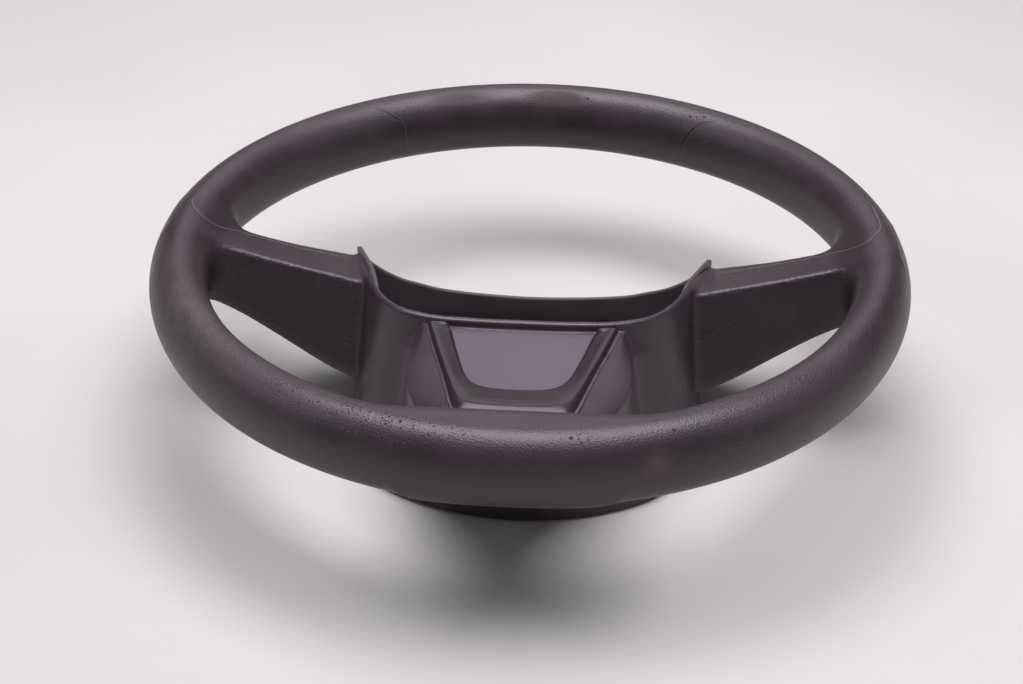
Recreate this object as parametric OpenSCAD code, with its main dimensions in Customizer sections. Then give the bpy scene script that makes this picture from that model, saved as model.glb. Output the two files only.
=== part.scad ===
// Car steering wheel, airbag cushion removed. Millimetres, +Z towards the driver.
// Origin: on the column axis, in the plane the hub rests on.

/* [Rim] */
// Outside diameter of the rim
rim_d = 370; // [355:1:385]
// Width of the rim section, measured along the radius
rim_w = 27.7; // [26:0.1:30]
// Height of the rim section, measured along the axis
rim_h = 37.2; // [34:0.1:39]
// Height of the rim's middle plane above the rest plane
rim_z = 80; // [78:1:84]

/* [Column] */
// Bore that the splined shaft enters
spline_d = 17; // [16:0.5:19]
// Length of the splined bore
spline_l = 22; // [18:1:24]
// Opening in the rear cover for the column
column_d = 78; // [70:1:84]

/* [Horn plate] */
// Travel of the floating plate
horn_travel = 2; // [1.5:0.1:2]
// Thickness of the pressed plate
plate_t = 1.6; // [1.2:0.1:2]
// Airbag fixing holes, centre to centre
airbag_pitch = 84; // [80:1:88]

/* [Shells] */
// Wall of the rear cover
cover_t = 2.5; // [2:0.1:3]
// Rim core of the casting, diameter
core_d = 11; // [9:0.5:12]

/* [Hidden] */
$fn = 64;

rc = (rim_d - rim_w) / 2;   // radius of the rim's centre line
ra = rim_w / 2;
rb = rim_h / 2;
part_z = -64;               // joint between moulding and rear cover, from the rim plane
rest_z = -rim_z;
hub_top = -60.5;            // front of the casting's hub plate
plate_z = hub_top + 12;     // underside of the horn plate
post_z = hub_top + 3;       // top of the horn posts
boss_top = hub_top + 8;
shell_c = [0.17, 0.15, 0.17];

// ---- curve and loft helpers -------------------------------------------------
function cr(a, b, c, d, t) = 0.5 * ((2 * b) + (c - a) * t + (2 * a - 5 * b + 4 * c - d) * t * t
  + (3 * b - a - 3 * c + d) * t * t * t);
function mir(p) = [for (i = [0:len(p) - 1]) i == 0 ? -p[i] : p[i]];
// open curve through pts, k steps a span; m0 and m1 mirror the end tangents in X
function curve(pts, k, m0 = false, m1 = false) = let (n = len(pts)) [
  for (i = [0:n - 2]) for (j = [0:k - 1]) let (
    a = i == 0 ? (m0 ? mir(pts[1]) : 2 * pts[0] - pts[1]) : pts[i - 1],
    d = i == n - 2 ? (m1 ? mir(pts[n - 2]) : 2 * pts[n - 1] - pts[n - 2]) : pts[i + 2])
    cr(a, pts[i], pts[i + 1], d, j / k),
  pts[n - 1]];
function head(v) = [for (i = [0:len(v) - 2]) v[i]];
function rev(v) = [for (i = [len(v) - 1:-1:0]) v[i]];
// closed outline, counter-clockwise from the front centre: near side, corner, far side
function outline(near, far, k = 3) = let (
    h = concat(head(curve(near, k, true, false)), curve(far, k, false, true)),
    n = len(h))
  concat(h, [for (i = [n - 2:-1:1]) mir(h[i])]);
function unit(v) = v / norm(v);
// outline moved inwards by d
function inset(o, d) = let (n = len(o)) [for (i = [0:n - 1]) let (
    t = unit([for (q = [0:1]) o[(i + 1) % n][q] - o[(i + n - 1) % n][q]]))
    len(o[i]) > 2 ? [o[i][0] - t[1] * d, o[i][1] + t[0] * d, o[i][2]]
                  : [o[i][0] - t[1] * d, o[i][1] + t[0] * d]];
function lift(o, z) = [for (p = o) [p[0], p[1], z]];
function drop(o, dz) = [for (p = o) [p[0], p[1], p[2] + dz]];
// closed rings, bottom first, each counter-clockwise seen from the last
module loft(rings) {
  n = len(rings[0]); m = len(rings);
  polyhedron(points = [for (r = rings) each r],
    faces = concat([[for (i = [0:n - 1]) i]],
      [for (j = [0:m - 2]) for (i = [0:n - 1]) let (a = j * n + i, b = j * n + (i + 1) % n)
        each [[a, a + n, b], [b, a + n, b + n]]],
      [[for (i = [n - 1:-1:0]) (m - 1) * n + i]]), convexity = 8);
}

// ---- outlines, all from the rim plane ----------------------------------------
pocket = outline([[0, -53.6], [25, -53.2], [44, -51.3], [58, -45.5], [67, -35], [72.8, -22.5],
    [76.5, -9.5], [80, 3.5], [84.5, 19], [90.8, 38.3]],
  [[90.8, 38.3], [78, 42.8], [60, 47.2], [40, 50.3], [20, 51.9], [0, 52.3]]);
far_in = [[88, 37], [76, 39.5], [58, 43.8], [39, 47], [20, 48.5], [0, 49]];
function far_at(z) = [for (p = far_in) [p[0], p[1], z]];
lip = outline([[0, -57.2, 0], [25, -56.8, 0], [44, -54.8, 0], [58, -49, -0.2], [68.5, -38, -1.2],
    [75, -24, -3.2], [79.5, -10, -7], [83.3, 3, -11.2], [87, 19, -15.2], [91.6, 38, -19.6]], far_at(-19.6));
mid_a = outline([[0, -58.6, -12], [25, -58.2, -12], [44.5, -56.2, -12], [59, -50.5, -12],
    [69.5, -39.8, -13], [76, -26, -14], [80.3, -11.5, -17], [84, 2, -20], [87.3, 18.5, -23],
    [91.6, 38, -26]], far_at(-26));
mid_b = outline([[0, -63, -34], [26, -62.6, -34], [46, -60.6, -34], [61, -55.5, -34], [71.5, -45, -34],
    [78, -31.5, -34], [82, -15, -34], [85, 0, -34], [87.3, 18, -34], [91, 37.8, -34]], far_at(-34));
mid_c = outline([[0, -78, -52], [26, -76.5, -52], [46, -72, -52], [61.5, -64, -52], [72, -53, -52],
    [79.5, -38, -52], [83.5, -20, -52], [86, -2, -52], [87, 18, -52], [90.8, 37.6, -52]], far_at(-52));
foot = outline([[0, -98, -64], [27, -94, -64], [47, -85.5, -64], [61, -74, -64], [72, -60.5, -64],
    [80, -44, -64], [84.3, -25, -64], [86.5, -4, -64], [87, 18, -64], [90.8, 37.6, -64]], far_at(-64));
// rear cover, from the joint down to the rest plane
cov_1 = outline([[0, -104], [27, -100.5], [48, -91], [61.5, -78], [72.5, -63], [80.3, -45], [84.5, -26],
    [86.6, -4], [87.4, 18], [90.8, 38.3]],
  [[90.8, 38.3], [78, 42.8], [60, 47.2], [40, 50.3], [20, 51.9], [0, 52.3]]);
cov_2 = outline([[0, -106.3], [28, -102.4], [50.5, -93.4], [66.5, -82.6], [77, -68], [83.5, -48.5],
    [87, -27], [88, -4], [88, 17], [88.4, 36]],
  [[88.4, 36], [76, 41], [58.5, 45.4], [39, 48.4], [20, 50], [0, 50.4]]);
cov_3 = outline([[0, -106], [28, -102.2], [50.5, -93.2], [66.5, -82.4], [76.8, -67.6], [83, -48.5],
    [86.4, -27], [87.2, -4], [87, 17], [86, 34]],
  [[86, 34], [74, 38.8], [57, 43], [38, 45.8], [19.5, 47.2], [0, 47.6]]);
cov_4 = inset(cov_3, 2.2);

// ---- side spoke: four corner lines, [x, y, z], hub end first ------------------
// upper face: sharp lower edge, then the edge towards 12 o'clock
sp_fl = [[76, -6.6, -12], [84, -6.3, -10.2], [100, -5.2, -6.9], [120, -4.2, -2.7], [140, -3.6, 2.4], [154, -4.2, 6.4], [168, -6, 9.8]];
sp_fu = [[76, 38.5, -23.5], [84, 38.5, -21.5], [100, 36.5, -17.1], [120, 32, -10.9], [140, 28.8, -4], [154, 30, 0], [168, 34, 2.8]];
sp_bu = [[76, 35, -54], [84, 34.5, -52], [100, 31.5, -46], [120, 28, -35.5], [140, 25.5, -23], [154, 26, -15.5], [168, 30, -10]];
sp_bl = [[76, -22, -63.9], [84, -21.5, -63], [100, -20, -56.3], [120, -18, -43.9], [140, -16, -32], [154, -15, -25], [168, -14, -18]];

// rounded quadrilateral section with corner radii in the order fl, fu, bu, bl
function corner(p, a, b, r) = let (u = unit(a - p), w = unit(b - p), s = sqrt(max(0.001, (1 + u * w) / 2)),
    q = sqrt(max(0.001, 1 - s * s)), l = r * s / q)
  [for (t = [0, 0.25, 0.5, 0.75, 1]) let (k = 1 - t) k * k * (p + u * l) + 2 * t * k * p + t * t * (p + w * l)];
function spoke_ring(i) = let (p = [sp_fl[i], sp_fu[i], sp_bu[i], sp_bl[i]], r = [2.6, 7, 9, 5])
  [for (j = [0:3]) each corner(p[j], p[(j + 3) % 4], p[(j + 1) % 4], r[j])];
function rings_between(rs, k) = let (n = len(rs), m = len(rs[0])) [
  for (i = [0:n - 2]) for (j = [0:(i == n - 2 ? k : k - 1)]) [for (q = [0:m - 1])
    cr(i == 0 ? 2 * rs[0][q] - rs[1][q] : rs[i - 1][q], rs[i][q], rs[i + 1][q],
       i == n - 2 ? 2 * rs[n - 1][q] - rs[n - 2][q] : rs[i + 2][q], j / k)]];

module side_spoke() {
  loft(rings_between([for (i = [0:len(sp_fl) - 1]) rev(spoke_ring(i))], 2));
}

// ---- lower spoke: half sections at stations along -Y --------------------------
// [y, top z, top half width, shoulder half width and z, waist half width, foot half width, foot z]
lo = [[-48, -3.8, 48.4, 49.8, -6, 54.6, 60, -64], [-60, -3.8, 45.9, 48.8, -6.5, 53, 58.5, -64],
  [-75, -3.8, 41.7, 51, -8, 52, 56, -64], [-90, -3.8, 37.7, 51.5, -8.5, 51, 50, -64],
  [-101, -4, 34.8, 49.5, -9, 48, 40, -62], [-112, -4.5, 32.4, 45.5, -9.5, 43.5, 33, -47],
  [-124, -5.5, 30.5, 40.5, -10, 38.5, 31, -33], [-138, -6.5, 31, 36.5, -9, 36, 31, -23.5],
  [-152, -5, 34, 37, -7, 36.5, 34, -17], [-166, -2, 38, 40, -3.5, 39.5, 38, -12]];
function lo_ring(s) = let (y = s[0], zt = s[1], a = s[2], sh = s[3], zs = s[4], b = s[5], c = s[6], zb = s[7], h = zt - zb,
    e = [[0, zt], [a - 4, zt], [a - 1, zt - 0.2], [(a + sh) / 2, zt * 0.45 + zs * 0.55 + 0.35], [sh - 1.2, zs + 0.2],
      [sh + 0.3, zs - min(2.2, h * 0.04)], [b, zt - h * 0.32],
      [(b + c) / 2 + 1, zt - h * 0.62], [c, zb + min(5, h * 0.16)], [c - 3, zb + 0.6], [c - 8, zb], [0, zb]])
  concat([for (p = e) [p[0], y, p[1]]], [for (i = [len(e) - 2:-1:1]) [-e[i][0], y, e[i][1]]]);
module lower_spoke() {
  loft(rings_between([for (s = lo) rev(lo_ring(s))], 2));
}

// ---- lower trim: three matching lines from the right leg's top to the middle --
tr_out = [[45.8, -57.6], [41.4, -75], [36.1, -94], [31.4, -112], [28.2, -124], [25.2, -130], [19, -132.4], [8, -133], [0, -133]];
tr_mid = [[43.3, -57.6], [38.3, -76], [32.7, -96], [28.6, -109.5], [25.8, -117.5], [23.4, -121.6], [18.5, -124.8], [9, -126], [0, -126.2]];
tr_in = [[34.6, -57.6], [30.1, -77], [26.6, -90.5], [23.8, -99], [21, -103.5], [17.5, -106.6], [12.5, -108.6], [6, -109.4], [0, -109.5]];
function both(v) = concat(v, [for (i = [len(v) - 2:-1:0]) mir(v[i])]);
function tr(v, k = 4) = both(curve(v, k, false, true));
function mixp(a, b, t) = a * (1 - t) + b * t;
module trim_ridge() {
  o = tr(tr_out); r = tr(tr_mid); q = tr(tr_in); n = len(o);
  // the leg ends are rounded down
  function e(i) = let (s = min(i, n - 1 - i)) s == 0 ? 2.2 : s == 1 ? 0.35 : 0;
  loft([for (i = [0:n - 1]) let (d = e(i)) [
    [o[i][0], o[i][1], -8], [o[i][0], o[i][1], -3.6 - d * 0.3],
    each [for (w = [[0.3, -1.9], [0.62, -0.65], [0.85, -0.12]]) let (p = mixp(o[i], r[i], w[0])) [p[0], p[1], w[1] - d]],
    [r[i][0], r[i][1], -d],
    each [for (w = [[0.12, -0.1], [0.35, -0.55], [0.7, -1.7]]) let (p = mixp(r[i], q[i], w[0])) [p[0], p[1], w[1] - d * 0.8]],
    [q[i][0], q[i][1], -2.7 - d * 0.3], [q[i][0], q[i][1], -8]]]);
}

// ---- pieces -------------------------------------------------------------------
module up() translate([0, 0, rim_z]) children();
module both_sides() { children(); mirror([1, 0, 0]) children(); }

flat_y = -161;
// [x, y of the buried outer half, half height]
flat_at = [[-64, -161.5, 17.8], [-57, -161.5, rb - 0.05], [-47, -161.5, rb - 0.05], [-35, -164.5, rb - 0.05], [-20, -167, rb - 0.05],
  [0, -168.1, rb - 0.05], [20, -167, rb - 0.05], [35, -164.5, rb - 0.05], [47, -161.5, rb - 0.05], [57, -161.5, rb - 0.05], [64, -161.5, 17.8]];
module rim_body() {
  rotate_extrude($fn = 96)
    polygon([for (i = [0:35]) [rc + ra * cos(i * 10), rb * sin(i * 10)]]);
  // straight inner edge at six o'clock
  loft([for (s = flat_at) let (hb = s[2]) [
    for (i = [0:23]) let (c = cos(i * 15 + 7.5), t = sin(i * 15 + 7.5)) c > 0
      ? [s[0], flat_y + ra * c, hb * t] : [s[0], s[1] + (ra - 3) * c, hb * t]]]);
}
module cover_filled() {
  loft([lift(cov_4, rest_z), lift(cov_3, rest_z + 2.4), lift(cov_2, rest_z + 8), lift(cov_1, part_z)]);
}
bezel_boss = [[-12, -119.5], [12, -119.5]];
module arms_and_ring() {
  rotate_extrude($fn = 96) translate([rc, 0]) circle(d = core_d, $fn = 32);
  both_sides() translate([0, 22, 0]) rotate([90, 0, 0]) linear_extrude(18)
    polygon([[50, -66], [68, -64], [82, -54], [104, -38], [124, -26], [142, -16], [156, -8], [rc, -4.5],
      [rc, 4.5], [160, 1], [146, -6.5], [126, -13], [106, -22], [88, -36], [75, -48], [65, -57], [56, -60.5], [50, -60.5]]);
  rotate([0, 0, -90]) translate([0, 13, 0]) rotate([90, 0, 0]) linear_extrude(26)
    polygon([[40, -66], [56, -62], [76, -48], [100, -36], [112, -28], [126, -22], [142, -18], [156, -13], [166, -4.5], [rc, -4.5],
      [rc, 4.5], [164, -1], [152, -9], [140, -12], [128, -14], [112, -18.5], [100, -25], [78, -36], [62, -48], [54, -57], [48, -60.5], [40, -60.5]]);
}

module grip_moulding() color(shell_c) up() difference() {
  union() {
    rim_body();
    both_sides() side_spoke();
    lower_spoke();
    loft([foot, mid_c, mid_b, mid_a, drop(lip, -1.2), inset(lip, 1)]);
  }
  translate([0, 0, part_z - 1]) linear_extrude(120) polygon(pocket);
  cover_filled();
  // hollow behind the lower spoke, closed by the rear cover
  translate([0, 0, part_z - 1]) linear_extrude(29) polygon([[-45, -60], [-41, -74], [-26, -84], [26, -84], [41, -74], [45, -60]]);
  translate([0, 0, -36.01]) linear_extrude(20) polygon([[-37, -61], [-30, -88], [-14, -96], [14, -96], [30, -88], [37, -61]]);
  arms_and_ring();
  trim_seat();
  for (p = bezel_boss) translate([p[0], p[1], -60]) cylinder(r = 5.5, h = 37);
}
module trim_seat() {
  translate([0, 0, -8]) linear_extrude(30) polygon(tr(tr_out));
  for (p = insert_pegs) translate([p[0], p[1], -14]) cylinder(r = 6.5, h = 7);
  for (p = bezel_boss) translate([p[0], p[1], -25]) cylinder(r = 4.2, h = 20);
}
insert_pegs = [[-22, -70], [22, -70], [0, -99]];

horn_posts = [[-50, 9], [50, 9], [0, -40]];
stud_at = [[-35, 9], [35, 9], [0, -30]];
cover_posts = [[-57, -33], [57, -33], [-64, 27], [64, 27]];
module armature() color([0.62, 0.63, 0.65]) up() difference() {
  union() {
    arms_and_ring();
    // hub plate
    translate([0, 0, hub_top - 6]) linear_extrude(6)
      polygon([[-30, -48], [30, -48], [48, -45], [63, -34], [68.5, -20], [72, -2], [77, 20], [79, 33], [66, 38],
        [40, 43], [0, 44.5], [-40, 43], [-66, 38], [-79, 33], [-77, 20], [-72, -2], [-68.5, -20], [-63, -34], [-48, -45]]);
    translate([0, 0, -75]) cylinder(r = 22, h = boss_top + 75);
    for (p = horn_posts) translate([p[0], p[1], hub_top - 6]) cylinder(r = 6.5, h = post_z - hub_top + 6);
    for (p = stud_at) translate([p[0], p[1], hub_top - 6]) cylinder(r = 4.5, h = post_z - hub_top + 6);
    for (p = cover_posts) translate([p[0], p[1], -72]) cylinder(r = 5, h = 10);
    // webs from the boss to the arms
    for (a = [8, 172, 270]) rotate([0, 0, a]) translate([20, -2, -70]) cube([28, 4, 8]);
    for (a = [52, 128, 232, 308]) rotate([0, 0, a]) translate([20, -1.75, -68]) cube([20, 3.5, 7]);
  }
  translate([0, 0, -82]) cylinder(r = 15, h = 40);
  // windows for the leads and the airbag fixing screws
  both_sides() translate([airbag_pitch / 2, -15, -70]) cylinder(r = 7.5, h = 20);
  both_sides() translate([28, 30, -70]) cylinder(r = 8, h = 20);
  translate([-11, 28, -70]) cube([22, 9, 20]);
  both_sides() translate([27, -27, -70]) cylinder(r = 6, h = 20);
  for (p = horn_posts) translate([p[0], p[1], post_z - 8]) cylinder(r = 2.5, h = 12);
  for (p = stud_at) translate([p[0], p[1], post_z - 7]) cylinder(r = 1.5, h = 12);
  for (p = cover_posts) translate([p[0], p[1], -73]) cylinder(r = 2, h = 11);
  for (p = bezel_boss) translate([p[0], p[1], -40]) cylinder(r = 2.2, h = 40);
  translate([-30, -41, hub_top - 7]) cylinder(r = 2, h = 12);
  // seats for the lower trim's bosses
  for (p = bezel_boss) translate([p[0], p[1], -18.5]) cylinder(r = 4.2, h = 12);
  // flats for the trim screws' heads
  for (p = bezel_boss) translate([p[0], p[1], -40]) cylinder(r = 5.5, h = 17);
}

module spline_sleeve() color([0.5, 0.5, 0.52]) up() difference() {
  translate([0, 0, -76]) cylinder(r = 15, h = boss_top + 2 + 76);
  translate([0, 0, -77]) cylinder(d = spline_d, h = spline_l + 1.01);
  // wide seat for the centre nut
  translate([0, 0, -76 + spline_l]) cylinder(d = spline_d + 5, h = 20);
}

// top edge of the cover's standing wall, by outline point: fins, then the low far wall
fin_top = curve([[-20], [-11], [-9.6], [-12.9], [-17.2]], 3);
far_top = curve([[-17.2], [-31.4], [-40.9], [-46.5], [-48.9], [-49.8]], 3, false, false);
module standing_wall() {
  h0 = 15; n = len(pocket); last = n - h0;
  hh = concat(head(fin_top), far_top);
  m = len(hh);
  ztop = concat(hh, [for (i = [m - 2:-1:0]) hh[i]]);
  p_in = inset(pocket, cover_t);
  loft([for (i = [h0:last]) let (z = ztop[i - h0][0], a = pocket[i], b = p_in[i], c = (a + b) / 2) [
    [a[0], a[1], part_z - 2.5], [b[0], b[1], part_z - 2.5], [b[0], b[1], z - 0.7],
    [mixp(a, b, 0.75)[0], mixp(a, b, 0.75)[1], z - 0.1], [c[0], c[1], z],
    [mixp(a, b, 0.25)[0], mixp(a, b, 0.25)[1], z - 0.1], [a[0], a[1], z - 0.7]]]);
}
module rear_cover() color([0.14, 0.13, 0.14]) up() difference() {
  union() {
    difference() {
      cover_filled();
      loft([lift(inset(cov_4, cover_t), rest_z + cover_t), lift(inset(cov_3, cover_t), rest_z + cover_t + 1.6),
        lift(inset(cov_2, cover_t), rest_z + 8), lift(inset(cov_1, cover_t), part_z - cover_t)]);
      translate([0, 0, part_z - cover_t - 1]) linear_extrude(10) polygon(inset(pocket, cover_t));
    }
    standing_wall();
    // collar round the column opening
    translate([0, 0, rest_z]) cylinder(d = column_d + 6, h = 9, $fn = 96);
    for (p = cover_posts) translate([p[0], p[1], rest_z]) cylinder(r = 7.5, h = 8);
    both_sides() translate([airbag_pitch / 2, -15, rest_z]) cylinder(r = 10, h = 7);
  }
  translate([0, 0, rest_z - 1]) cylinder(d = column_d, h = 20, $fn = 96);
  // shallow dish round the opening
  translate([0, 0, rest_z - 1]) cylinder(d = column_d + 3, h = 2, $fn = 96);
  for (p = cover_posts) translate([p[0], p[1], rest_z - 1]) { cylinder(r = 5.4, h = 5); cylinder(r = 2.2, h = 20); }
  both_sides() translate([airbag_pitch / 2, -15, rest_z - 1]) cylinder(r = 7.5, h = 20);
  arms_and_ring();
}
module rear_cover_screws() color([0.25, 0.25, 0.27]) up() for (p = cover_posts) translate([p[0], p[1], 0]) difference() {
  union() {
    translate([0, 0, rest_z + 1.4]) cylinder(r = 4.6, h = 2.6);
    translate([0, 0, rest_z + 4]) cylinder(r = 2, h = 13);
  }
  for (a = [0, 60, 120]) translate([0, 0, rest_z + 1.3]) rotate([0, 0, a]) translate([-1.6, -0.5, 0]) cube([3.2, 1, 1.7]);
}

module lower_bezel() color([0.2, 0.17, 0.2]) up() difference() {
  union() {
    trim_ridge();
    translate([0, 0, -8]) linear_extrude(1.4) polygon(tr(tr_in));
    for (p = bezel_boss) translate([p[0], p[1], -18.5]) cylinder(r = 4, h = 12);
  }
  for (p = insert_pegs) translate([p[0], p[1], -9]) cylinder(r = 1.8, h = 4);
  for (p = bezel_boss) translate([p[0], p[1], -19]) cylinder(r = 1.8, h = 12);
}
module bezel_screws() color([0.25, 0.25, 0.27]) up() for (p = bezel_boss) translate([p[0], p[1], 0]) difference() {
  union() {
    translate([0, 0, -25.6]) cylinder(r = 4, h = 2.6);
    translate([0, 0, -23]) cylinder(r = 1.8, h = 15);
  }
  for (a = [0, 60, 120]) translate([0, 0, -25.7]) rotate([0, 0, a]) translate([-1.5, -0.5, 0]) cube([3, 1, 1.7]);
}
module lower_insert() color([0.36, 0.33, 0.37]) up() {
  translate([0, 0, -6]) linear_extrude(2.5) polygon(inset(tr(tr_in), -0.45));
  for (p = insert_pegs) translate([p[0], p[1], -12]) cylinder(r = 1.8, h = 6.5);
}
module insert_clips() color([0.55, 0.56, 0.58]) up() for (p = insert_pegs) translate([p[0], p[1], -8.8]) difference() {
  translate([-5, -3.5, 0]) cube([10, 7, 0.8]);
  translate([0, 0, -1]) cylinder(r = 1.8, h = 3);
}

// ---- horn parts ----------------------------------------------------------------
module plate_2d() {
  difference() {
    union() {
      polygon([[-58, 3], [-58, 15], [-52, 19], [-30, 22], [30, 22], [52, 19], [58, 15], [58, 3], [54, -8],
        [52, -20], [46, -26], [30, -30], [11, -47], [-11, -47], [-30, -30], [-46, -26], [-52, -20], [-54, -8]]);
      for (p = [[-50, 9], [50, 9]]) translate(p) circle(r = 9.5);
      translate([0, -40]) circle(r = 11);
    }
    circle(r = 23);
    for (p = horn_posts) translate(p) circle(r = 4.6);
    for (p = stud_at) translate(p) circle(r = 1.5);
    for (s = [-1, 1]) translate([s * airbag_pitch / 2, -15]) circle(r = 3.3);
    for (s = [-1, 1]) translate([s * 24, -33]) circle(r = 3);
  }
}
module horn_plate() color([0.66, 0.66, 0.68]) up() {
  translate([0, 0, plate_z]) linear_extrude(plate_t) plate_2d();
  // folded stiffening edges
  both_sides() translate([50.5, -20, plate_z]) cube([1.5, 12, 5]);
  translate([-26, 20.5, plate_z - 1.5]) cube([52, 1.5, 1.6]);
}
module horn_screws() color([0.5, 0.5, 0.53]) up() for (p = horn_posts) translate([p[0], p[1], 0]) difference() {
  union() {
    translate([0, 0, post_z - 8]) cylinder(r = 2.5, h = 8);
    translate([0, 0, post_z]) cylinder(r = 3, h = plate_z + plate_t + 1.35 - post_z);
    translate([0, 0, plate_z + plate_t + 1.35]) cylinder(r = 5.6, h = 2.2);
  }
  for (a = [0, 60, 120]) translate([0, 0, plate_z + plate_t + 2.2]) rotate([0, 0, a]) translate([-2, -0.6, 0]) cube([4, 1.2, 2]);
}
module horn_bushes() color([0.85, 0.84, 0.8]) up() for (p = horn_posts) translate([p[0], p[1], 0]) difference() {
  union() {
    translate([0, 0, plate_z - 1.2]) cylinder(r = 4.6, h = plate_t + 1.2);
    translate([0, 0, plate_z + plate_t]) cylinder(r = 6.2, h = 1.2);
  }
  translate([0, 0, plate_z - 3]) cylinder(r = 3.06, h = 10);
}
// coil spring: n turns, mean radius r, wire radius w, from z0 to z1, closed flat ends
module coil(r, w, z0, z1, n) {
  steps = n * 20; sides = 6;
  function zz(t) = let (p = t * n) p < 0.75 ? z0 + w : p > n - 0.75 ? z1 - w
    : z0 + w + (z1 - z0 - 2 * w) * (p - 0.75) / (n - 1.5);
  loft([for (i = [0:steps]) let (a = i * 18, z = zz(i / steps)) [for (k = [sides - 1:-1:0]) let (b = k * 60)
    [(r + w * cos(b)) * cos(a), (r + w * cos(b)) * sin(a), z + w * sin(b)]]]);
}
spring_lo = post_z + 1.4;
spring_hi = plate_z - 0.05;
module horn_springs() color([0.7, 0.7, 0.72]) up() for (p = horn_posts) translate([p[0], p[1], 0])
  coil(5.75, 0.5, spring_lo + 0.05, spring_hi, 4);
module spring_seats() color([0.85, 0.84, 0.8]) up() for (p = horn_posts) translate([p[0], p[1], post_z]) difference() {
  union() { cylinder(r = 6.5, h = 1.4); cylinder(r = 4.6, h = 2.6); }
  translate([0, 0, -1]) cylinder(r = 3, h = 6);
}
stud_top = plate_z - 1.2 - horn_travel - 0.2;
module contact_studs() color([0.78, 0.6, 0.3]) up() for (p = stud_at) translate([p[0], p[1], 0]) {
  translate([0, 0, -60]) cylinder(r = 1.5, h = 8);
  translate([0, 0, post_z]) cylinder(r = 3, h = stud_top - post_z - 0.6);
  translate([0, 0, stud_top - 0.6]) cylinder(r = 2.4, h = 0.6);
}
module contact_pads() color([0.78, 0.6, 0.3]) up() for (p = stud_at) translate([p[0], p[1], 0]) {
  translate([0, 0, plate_z - 1.2]) cylinder(r = 3.4, h = 1.2);
  translate([0, 0, plate_z]) cylinder(r = 1.5, h = plate_t);
  translate([0, 0, plate_z + plate_t]) cylinder(r = 2.5, h = 0.7);
}
module horn_terminal() color([0.78, 0.6, 0.3]) up() {
  translate([-24, -33, plate_z]) cylinder(r = 3, h = plate_t);
  translate([-27.5, -36.5, plate_z + plate_t]) cube([7, 7, 0.8]);
  translate([-27.15, -37.3, plate_z + plate_t]) cube([6.3, 0.8, 8.5]);
}
module earth_terminal() color([0.78, 0.6, 0.3]) up() difference() {
  union() {
    translate([-34, -44.5, hub_top]) cube([14, 7, 0.8]);
    translate([-20.8, -44.2, hub_top]) cube([0.8, 6.3, 8]);
  }
  translate([-30, -41, hub_top - 1]) cylinder(r = 2, h = 3);
}
module earth_screw() color([0.5, 0.5, 0.53]) up() translate([-30, -41, 0]) difference() {
  union() {
    translate([0, 0, hub_top - 6]) cylinder(r = 2, h = 6.8);
    translate([0, 0, hub_top + 0.8]) cylinder(r = 3.4, h = 2.2);
  }
  for (a = [0, 90]) translate([0, 0, hub_top + 1.8]) rotate([0, 0, a]) translate([-2, -0.45, 0]) cube([4, 0.9, 2]);
}
module lead_guide() color([0.8, 0.78, 0.35]) up() difference() {
  union() {
    translate([-15, 25.4, hub_top]) cube([30, 13.6, 1.6]);
    for (x = [-14, 11]) translate([x, 26, hub_top]) cube([3, 12, 2.8]);
    translate([-10.5, 28.5, hub_top - 6]) cube([21, 8, 7]);
  }
  translate([-8, 31, hub_top - 7]) cube([16, 5.5, 12]);
  for (x = [-8, -2, 4]) translate([x, 28, hub_top + 0.9]) cube([4, 3.1, 2]);
}

grip_moulding();
armature();
spline_sleeve();
rear_cover();
rear_cover_screws();
lower_bezel();
bezel_screws();
lower_insert();
insert_clips();
horn_plate();
horn_screws();
horn_bushes();
horn_springs();
spring_seats();
contact_studs();
contact_pads();
horn_terminal();
earth_terminal();
earth_screw();
lead_guide();
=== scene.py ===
import math
import time
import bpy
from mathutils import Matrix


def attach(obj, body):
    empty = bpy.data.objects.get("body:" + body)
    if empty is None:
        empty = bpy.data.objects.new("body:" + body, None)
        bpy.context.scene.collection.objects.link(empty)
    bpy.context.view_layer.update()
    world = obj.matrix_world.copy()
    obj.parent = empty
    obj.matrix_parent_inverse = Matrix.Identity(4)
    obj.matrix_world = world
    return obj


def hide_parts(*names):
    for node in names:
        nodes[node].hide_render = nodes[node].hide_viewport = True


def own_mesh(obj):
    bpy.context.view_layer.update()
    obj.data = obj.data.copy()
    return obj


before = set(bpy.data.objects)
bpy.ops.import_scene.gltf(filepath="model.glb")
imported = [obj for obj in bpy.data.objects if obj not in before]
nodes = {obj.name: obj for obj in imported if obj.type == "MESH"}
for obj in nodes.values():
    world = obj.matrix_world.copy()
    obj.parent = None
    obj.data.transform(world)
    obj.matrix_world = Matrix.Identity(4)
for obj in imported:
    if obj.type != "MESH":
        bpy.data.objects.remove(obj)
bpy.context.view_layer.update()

from concurrent.futures import ThreadPoolExecutor

import bpy
import numpy as np
from mathutils import Matrix, Vector

t_start = time.time()
MM = 0.001
RIM_Z = 80.0            # the rim's middle plane above the rest plane, mm
ZOFF = np.array([0.0, 0.0, RIM_Z])
f32 = np.float32


def say(text):
    print("[wheel] %6.1fs  %s" % (time.time() - t_start, text), flush=True)


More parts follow.
